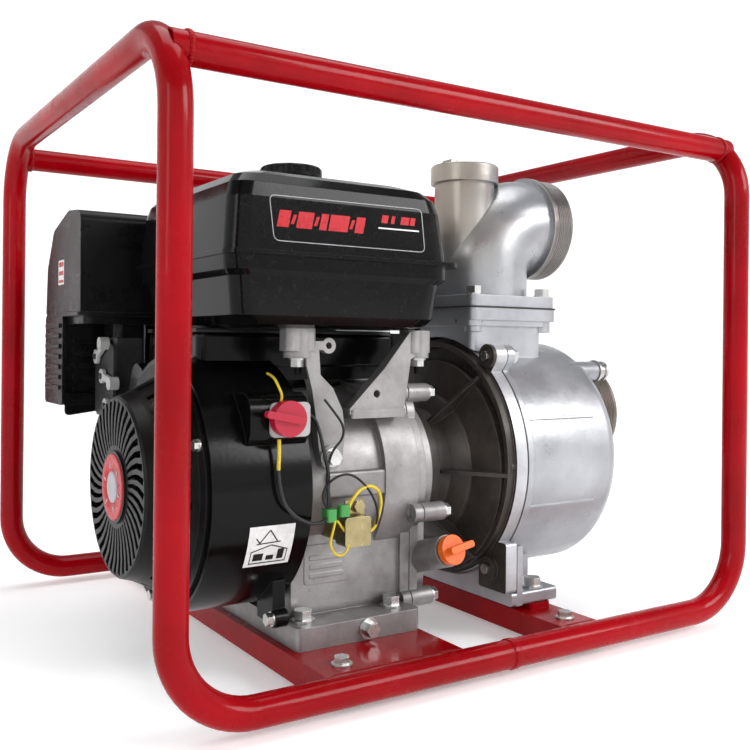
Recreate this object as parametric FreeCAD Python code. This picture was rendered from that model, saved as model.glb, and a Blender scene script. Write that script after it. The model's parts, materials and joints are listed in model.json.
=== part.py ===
import FreeCAD, Part
import math
import os

from FreeCAD import Rotation, Vector

# Portable petrol-engined fire pump in a welded tube frame, in millimetres.
# X runs along the crank axis from the recoil starter (-X) to the pump (+X),
# -Y is the side with the engine switch, +Z is up. The origin is on the ground,
# under the middle of the frame.

# ---------------------------------------------------------------- dimensions
# Frame: 25.4 mm (1 inch) round tube.
TUBE_R = 12.7
TUBE_WALL = 2.0
FRAME_X = 314.5            # centre-line of the posts from the middle
FRAME_Y = 263.5
FRAME_Z0 = 18.0            # centre-line of the bottom tubes
FRAME_Z1 = 521.0           # centre-line of the top tubes
BEND_R = 66.0
RAIL_Y = 247.0             # front and back top rails, set inside the corner bends
RAIL_Z = 505.0
RAIL_HALF = 314.5
WELD_R = 13.6
WELD_HALF = 2.5

# Crossmembers: folded channels, open downwards.
DECK_Z = 27.0
PLATE_T = 3.0
FLANGE_Z = 4.5
ENGINE_MEMBER_X = (-181.0, -44.0)
PUMP_MEMBER_X = (75.0, 120.0)
FOOT_BOLT_X = (-155.0, 97.5)
FOOT_BOLT_Y = 232.0
FOOT_R = 16.0
M8_R = 4.0
M10_R = 5.0
M6_R = 3.0

# Crank and pump axis.
CRANK_Y = -86.0
CRANK_Z = 165.0
JOURNAL_R = 15.0
SHAFT_R = 12.7
RUN_GAP = 0.05             # radial clearance of a running fit
FREE_GAP = 0.4             # clearance of parts that pass each other

# Crankcase.
CASE_X0 = -163.0
CASE_X1 = -38.0
CASE_R = 84.0
CASE_WALL = 8.0
COLLAR_R = 91.0             # step of the case in front of the side-cover joint
COLLAR_X0 = -76.0
SUMP_Y = (-156.0, 14.0)
SUMP_Z = (40.0, 140.0)
PAD_X = (-173.0, -44.5)
PAD_Y = (-189.0, 47.0)
PAD_TOP = 47.0
ENGINE_BOLT_X = (-157.0, -63.5)
ENGINE_BOLT_Y = (-168.0, 27.0)
GASKET_T = 1.0
COVER_X0 = CASE_X1 + GASKET_T
COVER_X1 = -12.0
PTO_FACE_X = -4.0
EAR_R = 9.0
EARS = [(-176.0, 133.0), (-148.0, 245.0), (-157.0, 48.0),
        (-25.0, 245.0), (6.0, 150.0), (13.0, 48.0)]
BEARING_OUT_R = 31.0
BEARING_W = 16.0
PTO_BOLT_R = 33.0
PTO_ANGLES = (45.0, 135.0, 225.0, 315.0)
DRAIN_X = -102.0
DRAIN_Z = 37.5
BRACKET_BOLT = Vector(-135.0, -170.0, 191.0)
DIP_AXIS = Vector(0.08, -0.95, 0.3).normalize()
DIP_SEAT = Vector(-17.0, -194.0, 98.0)

# Cylinder, inclined 25 degrees above level towards +Y.
CYL_X = -100.0
CYL_TILT = 25.0
BORE_R = 38.5
DECK_H = 92.0              # crankcase deck above the crank axis
BARREL_TOP = 150.0
HEAD_TOP = 192.0
VALVE_TOP = 226.0
STROKE = 58.0
SHROUD_X = (-164.0, -50.0)
SHROUD_Y = (-92.0, 20.0)
SHROUD_Z = (234.0, 299.0)
SHELF_X = (-236.0, -26.0)     # wider top of the hood, under the tank
SHELF_Y = (-118.0, 20.0)
SHELF_Z = (268.0, 301.0)
PISTON_TOP = 148.0
PISTON_H = 38.0
PORT_AXIS_Z = BARREL_TOP + 24
PLUG_SEAT = Vector(CYL_X + 34, 24, HEAD_TOP)

# Blower housing and recoil starter.
BLOWER_R = 114.0
BLOWER_X0 = -257.0
BLOWER_X1 = -166.0
SHEET = 2.0
RECOIL_FACE_X = -300.0
RECOIL_FACE_R = 79.0
RECOIL_SLOTS = 40
PULLEY_R = 42.0
HOUSING_LUG = Vector(-188.0, -170.0, 54.0)
# The rope leaves the pulley groove on a tangent, above the crank axis.
ROPE_R = 2.2
ROPE_RISE = math.radians(28)
GRIP_AXIS = Vector(0, -math.cos(ROPE_RISE), math.sin(ROPE_RISE))
ROPE_START = Vector(-277.0, CRANK_Y + 38 * math.sin(ROPE_RISE), CRANK_Z + 38 * math.cos(ROPE_RISE))
ROPE_EXIT = ROPE_START + GRIP_AXIS * 96

# Fuel tank.
TANK_X = (-245.0, -17.0)
TANK_Y = (-203.0, 37.0)
TANK_Z = (305.0, 366.0, 438.0)
TANK_UPPER = [(366.0, 0, 0, 0, 0, 26), (412.0, 3, 8, 1, 6, 26), (424.0, 6, 12, 3, 10, 26),
              (432.0, 13, 20, 9, 18, 28), (436.5, 24, 34, 20, 30, 30), (438.0, 40, 52, 36, 48, 32)]
TANK_LOWER = [(305.0, 34, 24, 24, 40, 30), (307.5, 20, 15, 13, 24, 28), (315.0, 10, 10, 7, 12, 26),
              (347.0, 6, 6, 4, 8, 26), (352.0, 1, 0, 0, 1, 26), (366.0, 0, 0, 0, 0, 26)]
TANK_SHEET = 1.6
TANK_LIP = 9.0
CAP_POS = (-148.0, -120.0)
CAP_R = 29.0
STUDS = [(-163.0, -165.0), (-34.0, -165.0)]

# Pump.
PUMP_Y = -83.0             # middle of the round casing, a little off the shaft
PUMP_Z = 173.0
ADAPTER_X = (56.0, 70.0)
FLANGE_R = 126.0
CASING_X0 = 71.0
CASING_X1 = 78.0
DRUM_X1 = 204.0
DRUM_R = 122.0
DRUM_WALL = 6.0
EAR_PCD_R = 135.5
PUMP_EAR_ANGLES = (53.0, 127.0, 231.0, 309.0)
PUMP_FOOT_X = (64.0, 124.0)
PUMP_FOOT_Y = (-193.0, 21.0)
PUMP_FOOT_Z = (32.5, 46.0)
PUMP_BOLTS = [(101.0, -182.0), (101.0, 10.0)]
NECK_X = (51.0, 148.0)
NECK_Y = (-143.0, -29.0)
FLANGE_X = (46.0, 165.0)
FLANGE_Y = (-148.0, -24.0)
FLANGE_Z0 = 318.0
FLANGE_Z1 = 331.0
ELBOW_Z0 = 332.5
ELBOW_T = 12.0
ELBOW_X = 105.0
ELBOW_R = 53.0
PORT_Z = 425.0
PORT_X = (165.0, 193.0)
PORT_R = 56.5              # 4 inch pipe thread
PORT_BORE_R = 48.0
PRIME_X = 84.0
PRIME_R = 32.5
PRIME_BORE_R = 24.0
PRIME_TOP = 472.0
SUCTION_Z = 213.0
SUCTION_X = (203.0, 266.0)
FLAP_X = 211.0             # face of the check valve flap
FLAP_Z = SUCTION_Z + 42.5  # its hinge
PLUG_Y = -148.0
PLUG_Z = 264.0

# Controls and leads.
THROTTLE_PIVOT = Vector(-262.5, 75.0, 256.0)
CHOKE_PIVOT = Vector(-262.5, 96.0, 276.0)
VALVE_PIVOT = Vector(-262.5, 62.0, 226.0)
PIVOT_R = 3.0
SWITCH = Vector(-194.0, -203.0, 229.5)
LEAD_R = 1.6
LEAD_ROUTES = [
    [Vector(-199, -201, 212), Vector(-199.4, -202.4, 200), Vector(-201, -204, 186),
     Vector(-200, -206, 171), Vector(-196, -207, 158), Vector(-187, -208, 148),
     Vector(-174, -207, 141), Vector(-161, -203, 139), Vector(-150, -197, 141)],
    [Vector(-132, -199.6, 143), Vector(-128, -199, 154), Vector(-118, -198, 164),
     Vector(-106, -197, 167), Vector(-96, -196, 161), Vector(-93, -195, 149),
     Vector(-96, -194, 137), Vector(-100, -193.8, 127), Vector(-108.2, -193.6, 124)],
    [Vector(-145, -194, 150), Vector(-147, -193, 162), Vector(-146, -192, 175),
     Vector(-150, -196, 188), Vector(-155, -198, 201), Vector(-157, -196, 215),
     Vector(-159, -190, 227), Vector(-166.4, -186.7, 232.6)],
]

X_AXIS = Vector(1, 0, 0)
Y_AXIS = Vector(0, 1, 0)
Z_AXIS = Vector(0, 0, 1)
CRANK = Vector(0, CRANK_Y, CRANK_Z)


# ------------------------------------------------------------------- helpers
def box(xs, ys, zs):
    """Box between two values on each axis."""
    return Part.makeBox(xs[1] - xs[0], ys[1] - ys[0], zs[1] - zs[0],
                        Vector(xs[0], ys[0], zs[0]))


def cyl(radius, length, base, axis=Z_AXIS):
    return Part.makeCylinder(radius, length, base, axis)


def ring(outer, inner, length, base, axis=Z_AXIS):
    return cyl(outer, length, base, axis).cut(cyl(inner, length, base, axis))


def on_crank(x):
    """Point on the crank axis at x."""
    return Vector(x, CRANK_Y, CRANK_Z)


def crank_cyl(radius, x0, x1):
    return cyl(radius, x1 - x0, on_crank(x0), X_AXIS)


def crank_ring(outer, inner, x0, x1):
    return ring(outer, inner, x1 - x0, on_crank(x0), X_AXIS)


def crank_polar(x, radius, degrees):
    """Point at a radius and an angle from +Y about the crank axis."""
    a = math.radians(degrees)
    return Vector(x, CRANK_Y + radius * math.cos(a), CRANK_Z + radius * math.sin(a))


def pump_cyl(radius, x0, x1):
    """Cylinder along the middle line of the round pump casing."""
    return cyl(radius, x1 - x0, Vector(x0, PUMP_Y, PUMP_Z), X_AXIS)


def pump_ring(outer, inner, x0, x1):
    return pump_cyl(outer, x0, x1).cut(pump_cyl(inner, x0 - 1, x1 + 1))


def pump_polar(x, radius, degrees):
    """Point round the casing's middle line, 0 degrees towards +Y."""
    a = math.radians(degrees)
    return Vector(x, PUMP_Y + radius * math.cos(a), PUMP_Z + radius * math.sin(a))


def fuse(shapes):
    """One solid from several that touch or overlap."""
    shapes = list(shapes)
    return shapes[0].multiFuse(shapes[1:]).removeSplitter()


def cut(shape, tools):
    return shape.cut(Part.makeCompound(list(tools))) if tools else shape


def group(shapes):
    """Separate solids kept in one node."""
    return Part.makeCompound(list(shapes))


def edges_along(shape, axis, span=None):
    """Straight edges parallel to an axis, at most span long if that is given."""
    found = []
    for edge in shape.Edges:
        if not isinstance(edge.Curve, Part.Line):
            continue
        direction = edge.Vertexes[1].Point - edge.Vertexes[0].Point
        if span is not None and direction.Length > span:
            continue
        if direction.Length > 1e-6 and abs(abs(direction.normalize().dot(axis)) - 1) < 1e-6:
            found.append(edge)
    return found


def rounded(xs, ys, zs, radius, axis=Z_AXIS):
    """Box with the four edges along one axis rounded."""
    solid = box(xs, ys, zs)
    return solid.makeFillet(radius, edges_along(solid, axis))


def soft_box(xs, ys, zs, radius, small, axis=Z_AXIS):
    """Box with large corners along one axis and small fillets round both ends."""
    solid = rounded(xs, ys, zs, radius, axis)
    rim = []
    for edge in solid.Edges:
        if abs(edge.tangentAt(edge.FirstParameter).dot(axis)) < 1e-6:
            rim.append(edge)
    return solid.makeFillet(small, rim)


def hexagon(across_flats, height, base, axis):
    """Hexagonal prism standing on base along axis."""
    radius = across_flats / math.sqrt(3)
    points = []
    for i in range(7):
        a = math.radians(60 * i)
        points.append(Vector(radius * math.cos(a), radius * math.sin(a), 0))
    prism = Part.Face(Part.makePolygon(points)).extrude(Vector(0, 0, height))
    prism.Placement = FreeCAD.Placement(base, Rotation(Z_AXIS, axis))
    return prism


def bolt(base, axis, shank_r, shank_len, flats, head, washer_r, washer_t=1.6):
    """Flanged hex bolt: washer face at base, head along axis, shank the other way."""
    axis = Vector(axis).normalize()
    top = base + axis * washer_t
    return fuse([cyl(washer_r, washer_t, base, axis),
                 hexagon(flats, head, top, axis),
                 cyl(shank_r, shank_len, base - axis * shank_len, axis)])


def nut(base, axis, bore_r, flats, height):
    axis = Vector(axis).normalize()
    return hexagon(flats, height, base, axis).cut(cyl(bore_r, height, base, axis))


def bent_path(points, radius):
    """Wire of straight runs joined by tangent arcs of one radius."""
    edges = []
    start = points[0]
    for before, corner, after in zip(points, points[1:], points[2:]):
        u = (before - corner).normalize()
        v = (after - corner).normalize()
        half = u.getAngle(v) / 2
        reach = radius / math.tan(half)
        first = corner + u * reach
        last = corner + v * reach
        bisector = (u + v).normalize()
        middle = corner + bisector * (radius / math.sin(half) - radius)
        edges.append(Part.LineSegment(start, first).toShape())
        edges.append(Part.Arc(first, middle, last).toShape())
        start = last
    edges.append(Part.LineSegment(start, points[-1]).toShape())
    return Part.Wire(edges)


def sweep(path, radius):
    """Round bar along a path."""
    start = path.Edges[0].Vertexes[0].Point
    axis = path.Edges[0].tangentAt(path.Edges[0].FirstParameter)
    section = Part.Wire([Part.makeCircle(radius, start, axis)])
    return path.makePipeShell([section], True, False)


def revolve_profile(points):
    """Solid of revolution about the crank axis from (x, radius) points."""
    outline = [Vector(x, CRANK_Y + r, CRANK_Z) for x, r in points]
    face = Part.Face(Part.makePolygon(outline + [outline[0]]))
    return face.revolve(on_crank(0), X_AXIS, 360)


def tilt(shape):
    """Carry a shape from the upright cylinder's frame to the inclined one."""
    moved = shape.copy()
    moved.rotate(Vector(0, 0, 0), X_AXIS, CYL_TILT - 90)
    moved.translate(CRANK)
    return moved


# --------------------------------------------------------------------- frame
def loop_points(side):
    """Corners of one bent loop, from the front weld round to the back weld."""
    x = side * FRAME_X
    return [Vector(side * 1.0, -FRAME_Y, FRAME_Z0),
            Vector(x, -FRAME_Y, FRAME_Z0),
            Vector(x, -FRAME_Y, FRAME_Z1),
            Vector(x, FRAME_Y, FRAME_Z1),
            Vector(x, FRAME_Y, FRAME_Z0),
            Vector(side * 1.0, FRAME_Y, FRAME_Z0)]


def loop_bar(side, radius):
    return sweep(bent_path(loop_points(side), BEND_R), radius)


def weld_bead(y):
    """Ring of weld where the two loops meet."""
    return ring(WELD_R, TUBE_R - TUBE_WALL, 2 * WELD_HALF,
                Vector(-WELD_HALF, y, FRAME_Z0), X_AXIS)


def frame_tube(side):
    tube = loop_bar(side, TUBE_R).cut(loop_bar(side, TUBE_R - TUBE_WALL))
    beads = [weld_bead(-FRAME_Y), weld_bead(FRAME_Y)]
    if side < 0:
        return fuse([tube] + beads)
    return cut(tube, beads)


def top_rails():
    loops = [loop_bar(-1, TUBE_R), loop_bar(1, TUBE_R)]
    rails = []
    for y in (-RAIL_Y, RAIL_Y):
        rail = ring(TUBE_R, TUBE_R - TUBE_WALL, 2 * RAIL_HALF,
                    Vector(-RAIL_HALF, y, RAIL_Z), X_AXIS)
        rails.append(cut(rail, loops))
    return group(rails)


def crossmember(xs, holes):
    """Folded channel coped on to the two bottom tubes."""
    ys = (-FRAME_Y + 5, FRAME_Y - 5)
    channel = box(xs, ys, (FLANGE_Z, DECK_Z))
    inner = box((xs[0] + PLATE_T, xs[1] - PLATE_T), (ys[0] - 1, ys[1] + 1),
                (FLANGE_Z - 1, DECK_Z - PLATE_T))
    tubes = [cyl(TUBE_R, xs[1] - xs[0] + 2, Vector(xs[0] - 1, y, FRAME_Z0), X_AXIS)
             for y in (-FRAME_Y, FRAME_Y)]
    drilled = [cyl(r, 10, Vector(x, y, DECK_Z - 6)) for x, y, r in holes]
    return cut(channel, [inner] + tubes + drilled)


def foot_places(x):
    return [(x, -FOOT_BOLT_Y), (x, FOOT_BOLT_Y)]


def engine_crossmember():
    holes = [(x, y, M10_R + 0.5) for x in ENGINE_BOLT_X for y in ENGINE_BOLT_Y]
    holes += [(x, y, M8_R + 0.5) for x, y in foot_places(FOOT_BOLT_X[0])]
    return crossmember(ENGINE_MEMBER_X, holes)


def pump_crossmember():
    """Channel under the pump, with the two spacer blocks that the pump stands on."""
    holes = [(x, y, M8_R + 0.5) for x, y in foot_places(FOOT_BOLT_X[1])]
    holes += [(x, y, M10_R + 0.5) for x, y in PUMP_BOLTS]
    channel = crossmember(PUMP_MEMBER_X, holes)
    blocks = []
    for x, y in PUMP_BOLTS:
        block = rounded((x - 13, x + 13), (y - 13, y + 13), (DECK_Z, PUMP_FOOT_Z[0]), 3)
        blocks.append(block.cut(cyl(M10_R + 0.5, 10, Vector(x, y, DECK_Z - 2))))
    return fuse([channel] + blocks)


def all_foot_places():
    return foot_places(FOOT_BOLT_X[0]) + foot_places(FOOT_BOLT_X[1])


def rubber_feet():
    feet = []
    for x, y in all_foot_places():
        top = DECK_Z - PLATE_T
        body = Part.makeCone(FOOT_R, FOOT_R - 2.5, top, Vector(x, y, 0))
        feet.append(body.cut(cyl(M8_R, top, Vector(x, y, 8))))
    return group(feet)


# ----------------------------------------------------------------- crankcase
def case_solid(x0, x1, grow):
    """Crank chamber and sump as one block, grown or shrunk all round."""
    barrel = crank_cyl(CASE_R + grow, x0, x1)
    sump = rounded((x0, x1), (SUMP_Y[0] - grow, SUMP_Y[1] + grow),
                   (SUMP_Z[0] - grow, SUMP_Z[1]), 14, X_AXIS)
    return fuse([barrel, sump])


def joint_outline(x0, x1, grow):
    """The case outline with the two upper shoulders of the side-cover joint."""
    shoulder = rounded((x0, x1), (-150 - grow, -22 + grow), (CRANK_Z, 240 + grow), 20, X_AXIS)
    return fuse([case_solid(x0, x1, grow), shoulder])


def ear_cyls(x0, x1, radius):
    return [cyl(radius, x1 - x0, Vector(x0, y, z), X_AXIS) for y, z in EARS]


def crankcase():
    """Cast case with its mounting pads, open at the side-cover joint."""
    pads = rounded(PAD_X, PAD_Y, (DECK_Z, PAD_TOP), 5)
    deck = tilt(rounded((CYL_X - 55, CYL_X + 55), (-56, 56), (20, DECK_H), 10))
    rim = joint_outline(CASE_X1 - 10, CASE_X1, 4)
    shelf = rounded((-135, -67), (-175, -150), (153, 177), 3, X_AXIS)
    collar = crank_cyl(COLLAR_R, COLLAR_X0, CASE_X1)
    outer = fuse([case_solid(CASE_X0, CASE_X1, 0), pads, deck, rim, shelf, collar]
                 + ear_cyls(-47.5, CASE_X1, EAR_R))
    chamber = case_solid(CASE_X0 + CASE_WALL, CASE_X1 + 1, -CASE_WALL)
    bore = tilt(cyl(BORE_R + 3.5, 120, Vector(CYL_X, 0, 0)))
    hollow = cut(outer, [chamber, bore])
    boss = crank_cyl(BEARING_OUT_R + 8, CASE_X0, CASE_X0 + BEARING_W)
    bolts = [cyl(M10_R + 0.5, 30, Vector(x, y, DECK_Z - 5))
             for x in ENGINE_BOLT_X for y in ENGINE_BOLT_Y]
    drain = cyl(7, 30, Vector(DRAIN_X, PAD_Y[0] - 1, DRAIN_Z), Y_AXIS)
    seats = [cyl(M8_R, 14, BRACKET_BOLT, Y_AXIS)]
    return cut(fuse([hollow, boss]),
               [crank_cyl(BEARING_OUT_R, CASE_X0 - 1, CASE_X0 + BEARING_W + 1), drain]
               + bolts + seats + ear_cyls(-48, CASE_X1 + 1, M8_R))


def crankcase_side_cover():
    """Domed cover with the bearing boss, the drive face and the oil filler boss."""
    flange = joint_outline(COVER_X0, COVER_X0 + 9, 4)
    dome = case_solid(COVER_X0, COVER_X1, -8)
    face = crank_cyl(64, COVER_X1 - 2, PTO_FACE_X)
    filler = cyl(15, 52, DIP_SEAT - DIP_AXIS * 52, DIP_AXIS)
    outer = fuse([flange, dome, face, filler] + ear_cyls(COVER_X0, COVER_X1, EAR_R))
    chamber = case_solid(COVER_X0 - 1, -19, -16)
    hollow = outer.cut(chamber)
    boss = crank_cyl(BEARING_OUT_R + 9, COVER_X0, COVER_X1)
    return cut(fuse([hollow, boss]),
               [crank_cyl(BEARING_OUT_R, COVER_X0 - 1, COVER_X0 + BEARING_W),
                crank_cyl(SHAFT_R + 4.3, COVER_X0, PTO_FACE_X + 1),
                cyl(9, 68, DIP_SEAT - DIP_AXIS * 63, DIP_AXIS)]
               + ear_cyls(COVER_X0 - 1, -11, M8_R + FREE_GAP)
               + [cyl(M8_R, 14, crank_polar(PTO_FACE_X - 11, PTO_BOLT_R, a), X_AXIS)
                  for a in PTO_ANGLES])


def side_cover_bolts():
    return group(bolt(Vector(COVER_X1, y, z), X_AXIS, M8_R, 34, 12, 6, 8.5) for y, z in EARS)


def chassis_bolts():
    """Bolts of the rubber feet, and of the engine with their nuts below the crossmember."""
    parts = [bolt(Vector(x, y, DECK_Z), Z_AXIS, M8_R, 17, 12, 5.5, 9)
             for x, y in all_foot_places()]
    for x in ENGINE_BOLT_X:
        for y in ENGINE_BOLT_Y:
            parts.append(bolt(Vector(x, y, PAD_TOP), Z_AXIS, M10_R, 36, 15, 8, 10.5, 2))
            parts.append(nut(Vector(x, y, DECK_Z - PLATE_T - 8), Z_AXIS, M10_R, 15, 8))
    return group(parts)


def oil_drain_plug():
    return bolt(Vector(DRAIN_X, PAD_Y[0], DRAIN_Z), Vector(0, -1, 0), 7, 16, 12, 8, 9.6, 2)


def dipstick():
    """Filler cap with a wing handle, a threaded plug and the level blade."""
    cap = cyl(14, 7, DIP_SEAT + DIP_AXIS * 2, DIP_AXIS)
    across = Z_AXIS.cross(DIP_AXIS) + Z_AXIS * 0.15
    wing = box((-10, 20), (-3.2, 3.2), (7, 17))
    wing = wing.makeFillet(2.8, edges_along(wing, Z_AXIS))
    wing.Placement = FreeCAD.Placement(
        DIP_SEAT, Rotation(across, DIP_AXIS.cross(across), DIP_AXIS, "ZXY"))
    plug = cyl(8.5, 12, DIP_SEAT - DIP_AXIS * 10, DIP_AXIS)
    blade = cyl(2.5, 26, DIP_SEAT - DIP_AXIS * 34, DIP_AXIS)
    return fuse([cap, wing, plug, blade])


def dipstick_seal():
    return ring(13, 8.9, 1.8, DIP_SEAT + DIP_AXIS * 0.1, DIP_AXIS)


# ---------------------------------------------------------- rotating assembly
def main_bearings():
    bearings = []
    for x0 in (CASE_X0, COVER_X0):
        bearings.append(crank_ring(BEARING_OUT_R, JOURNAL_R + RUN_GAP, x0, x0 + BEARING_W))
    return group(bearings)


def crankshaft():
    """Journals, two webs with counterweights, the crankpin and the long drive end."""
    pin_dir = Vector(0, math.cos(math.radians(CYL_TILT)), math.sin(math.radians(CYL_TILT)))
    throw = pin_dir * (STROKE / 2)
    webs = []
    for x0 in (CYL_X - 30, CYL_X + 14):
        disc = crank_cyl(44, x0, x0 + 16)
        trim = box((x0 - 1, x0 + 17), (-60, 60), (20, 60))
        trim.rotate(Vector(0, 0, 0), X_AXIS, CYL_TILT - 90)
        trim.translate(CRANK)
        arm = cyl(19, 16, on_crank(x0) + throw, X_AXIS)
        webs.append(fuse([disc.cut(trim), arm]))
    pin = cyl(14, 28, on_crank(CYL_X - 14) + throw, X_AXIS)
    return fuse(webs + [pin,
                        crank_cyl(JOURNAL_R, -180, CYL_X - 30),
                        crank_cyl(11, -232, -180),
                        crank_cyl(JOURNAL_R, CYL_X + 30, -18),
                        crank_cyl(SHAFT_R, -18, 124)])


def piston():
    """Crown and skirt at the top of the stroke, with ring grooves and the gudgeon pin hole."""
    bottom = PISTON_TOP - PISTON_H
    body = cyl(BORE_R - RUN_GAP, PISTON_H, Vector(CYL_X, 0, bottom))
    inside = cyl(BORE_R - 6, PISTON_H - 7, Vector(CYL_X, 0, bottom))
    grooves = [ring(BORE_R + 1, BORE_R - 3, 1.5, Vector(CYL_X, 0, PISTON_TOP - 5 - 4 * i))
               for i in range(3)]
    pin_hole = cyl(9, 90, Vector(CYL_X - 45, 0, bottom + 14), X_AXIS)
    return tilt(cut(body, [inside, pin_hole] + grooves))


def flywheel():
    """Iron disc with the starter cup on its outer face."""
    disc = fuse([crank_cyl(88, -205, -182), crank_cyl(26, -212, -181)])
    cup = crank_ring(40, 36, -240, -205)
    return cut(fuse([disc, cup]), [crank_cyl(11, -260, -170)])


def cooling_fan():
    """Fan ring of curved blades in front of the flywheel."""
    back = crank_ring(90, 46, -209, -205.2)
    blades = []
    for i in range(16):
        blade = box((-230, -209), (48, 88), (-1.5, 1.5))
        blade.rotate(Vector(0, 48, 0), X_AXIS, 24)
        blade.rotate(Vector(0, 0, 0), X_AXIS, 22.5 * i)
        blade.translate(CRANK)
        blades.append(blade)
    return fuse([back] + blades).common(crank_cyl(90, -235, -205))


# -------------------------------------------------------------- cylinder side
def finned_block(z0, z1, bases, core_r, span_x, span_y):
    """Core with square cooling fins at the given heights."""
    core = cyl(core_r, z1 - z0, Vector(CYL_X, 0, z0))
    fins = []
    for z in bases:
        fins.append(rounded((CYL_X - span_x, CYL_X + span_x), (-span_y, span_y), (z, z + 2.6), 9))
    return fuse([core] + fins)


def cylinder_barrel():
    foot = rounded((CYL_X - 52, CYL_X + 52), (-54, 54), (DECK_H, DECK_H + 8), 9)
    fins = [DECK_H + 14 + 8.5 * i for i in range(5)]
    block = finned_block(DECK_H, BARREL_TOP, fins, BORE_R + 7, 56, 56)
    top = rounded((CYL_X - 50, CYL_X + 50), (-52, 52), (BARREL_TOP - 6, BARREL_TOP), 9)
    liner = cyl(BORE_R + 3.2, 18, Vector(CYL_X, 0, DECK_H - 18))
    return tilt(fuse([foot, block, top, liner]).cut(cyl(BORE_R, 100, Vector(CYL_X, 0, DECK_H - 20))))


def cylinder_head():
    """Head with fins, intake port towards -X and exhaust port towards +X."""
    base = rounded((CYL_X - 50, CYL_X + 50), (-52, 52), (BARREL_TOP, BARREL_TOP + 8), 9)
    fins = [BARREL_TOP + 13 + 7.5 * i for i in range(3)]
    block = finned_block(BARREL_TOP, HEAD_TOP, fins, 42, 56, 54)
    top = rounded((CYL_X - 50, CYL_X + 44), (-46, 46), (HEAD_TOP - 6, HEAD_TOP), 8)
    intake = cyl(17, 70, Vector(CYL_X - 70, -6, PORT_AXIS_Z), X_AXIS)
    exhaust = cyl(17, 66, Vector(CYL_X, -6, PORT_AXIS_Z), X_AXIS)
    chamber = Part.makeCone(BORE_R - 2, 22, 12, Vector(CYL_X, 0, BARREL_TOP))
    bores = [cyl(13, 71, Vector(CYL_X - 71, -6, PORT_AXIS_Z), X_AXIS),
             cyl(12, 67, Vector(CYL_X, -6, PORT_AXIS_Z), X_AXIS)]
    plug_hole = cyl(6, 60, PLUG_SEAT - Vector(0, 0, 50))
    return tilt(cut(fuse([base, block, top, intake, exhaust]), [chamber, plug_hole] + bores))


def valve_cover():
    outer = soft_box((CYL_X - 50, CYL_X + 18), (-44, 44), (HEAD_TOP, VALVE_TOP), 14, 5)
    inner = rounded((CYL_X - 46, CYL_X + 14), (-40, 40), (HEAD_TOP - 1, VALVE_TOP - 4), 10)
    flange = rounded((CYL_X - 50, CYL_X + 20), (-46, 46), (HEAD_TOP, HEAD_TOP + 4), 8)
    return tilt(fuse([outer, flange]).cut(inner))


def cylinder_shroud():
    """Sheet-metal hood that carries the fan's air over the cylinder."""
    outer = soft_box(SHROUD_X, SHROUD_Y, SHROUD_Z, 12, 5)
    x, y, z = SHROUD_X, SHROUD_Y, SHROUD_Z
    inner = rounded((x[0] + SHEET, x[1] - SHEET), (y[0] + SHEET, y[1] + 1), (z[0] - 1, z[1] - SHEET), 10)
    bead = soft_box((x[0] + 14, x[1] - 14), (y[0] - 3, y[0] + 6), (z[0] + 12, z[1] - 14), 4, 2, Y_AXIS)
    shelf = soft_box(SHELF_X, SHELF_Y, SHELF_Z, 10, 4)
    under = rounded((SHELF_X[0] + SHEET, SHELF_X[1] - SHEET),
                    (SHELF_Y[0] + SHEET, SHELF_Y[1] + 1), (SHELF_Z[0] - 1, SHELF_Z[1] - SHEET), 8)
    clear = tilt(rounded((CYL_X - 57, CYL_X + 57), (-58, 58), (20, DECK_H + 3), 8))
    head = tilt(rounded((CYL_X - 72, CYL_X + 68), (-60, 60), (DECK_H, HEAD_TOP + 8), 8))
    hood = fuse([cut(fuse([outer, bead]), [inner]), cut(shelf, [under])])
    return cut(hood, [clear, head, blower_solid(1), case_solid(CASE_X0, CASE_X1, 2),
                      crank_cyl(COLLAR_R + 2, COLLAR_X0 - 2, CASE_X1)])


def spark_plug():
    seat = PLUG_SEAT
    return tilt(fuse([cyl(6, 30, seat - Vector(0, 0, 30)),
                      cyl(9.5, 2, seat),
                      hexagon(16, 9, seat + Vector(0, 0, 2), Z_AXIS),
                      cyl(5.5, 20, seat + Vector(0, 0, 11)),
                      cyl(3, 6, seat + Vector(0, 0, 31))]))


def muffler():
    """Box silencer on the exhaust port, with its outlet stub towards the back."""
    port = tilt(ring(19, 12, 6, Vector(CYL_X + 66, -6, PORT_AXIS_Z), X_AXIS))
    stub = tilt(ring(15, 12, 26, Vector(CYL_X + 72, -6, PORT_AXIS_Z), X_AXIS))
    turn = tilt(rounded((CYL_X + 84, CYL_X + 112), (-60, 12), (BARREL_TOP + 6, BARREL_TOP + 42), 10))
    turn = turn.cut(tilt(cyl(12, 12, Vector(CYL_X + 83, -6, PORT_AXIS_Z), X_AXIS)))
    riser = rounded((-14, 10), (58, 88), (256, 318), 8)
    shell = soft_box((-70, 52), (58, 170), (312, 398), 20, 9, Y_AXIS)
    room = soft_box((-68, 50), (60, 168), (314, 396), 18, 7, Y_AXIS)
    outlet = ring(11, 9, 34, Vector(20, 168, 340), Y_AXIS)
    body = cut(fuse([turn, riser, shell]), [room, cyl(9, 10, Vector(20, 165, 340), Y_AXIS)])
    return fuse([port, stub, body, outlet])


# ------------------------------------------------------- blower and recoil
def blower_solid(grow):
    """Round fan chamber with the air duct that runs on over the cylinder."""
    x1 = BLOWER_X1 + (1 if grow < 0 else 0)
    x0 = BLOWER_X0 - grow
    barrel = crank_cyl(BLOWER_R + grow, x0, x1)
    duct = tilt(rounded((x0, x1), (-66 - grow, 66 + grow), (20, 122 + grow), 16 + grow, X_AXIS))
    return fuse([barrel, duct])


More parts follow.
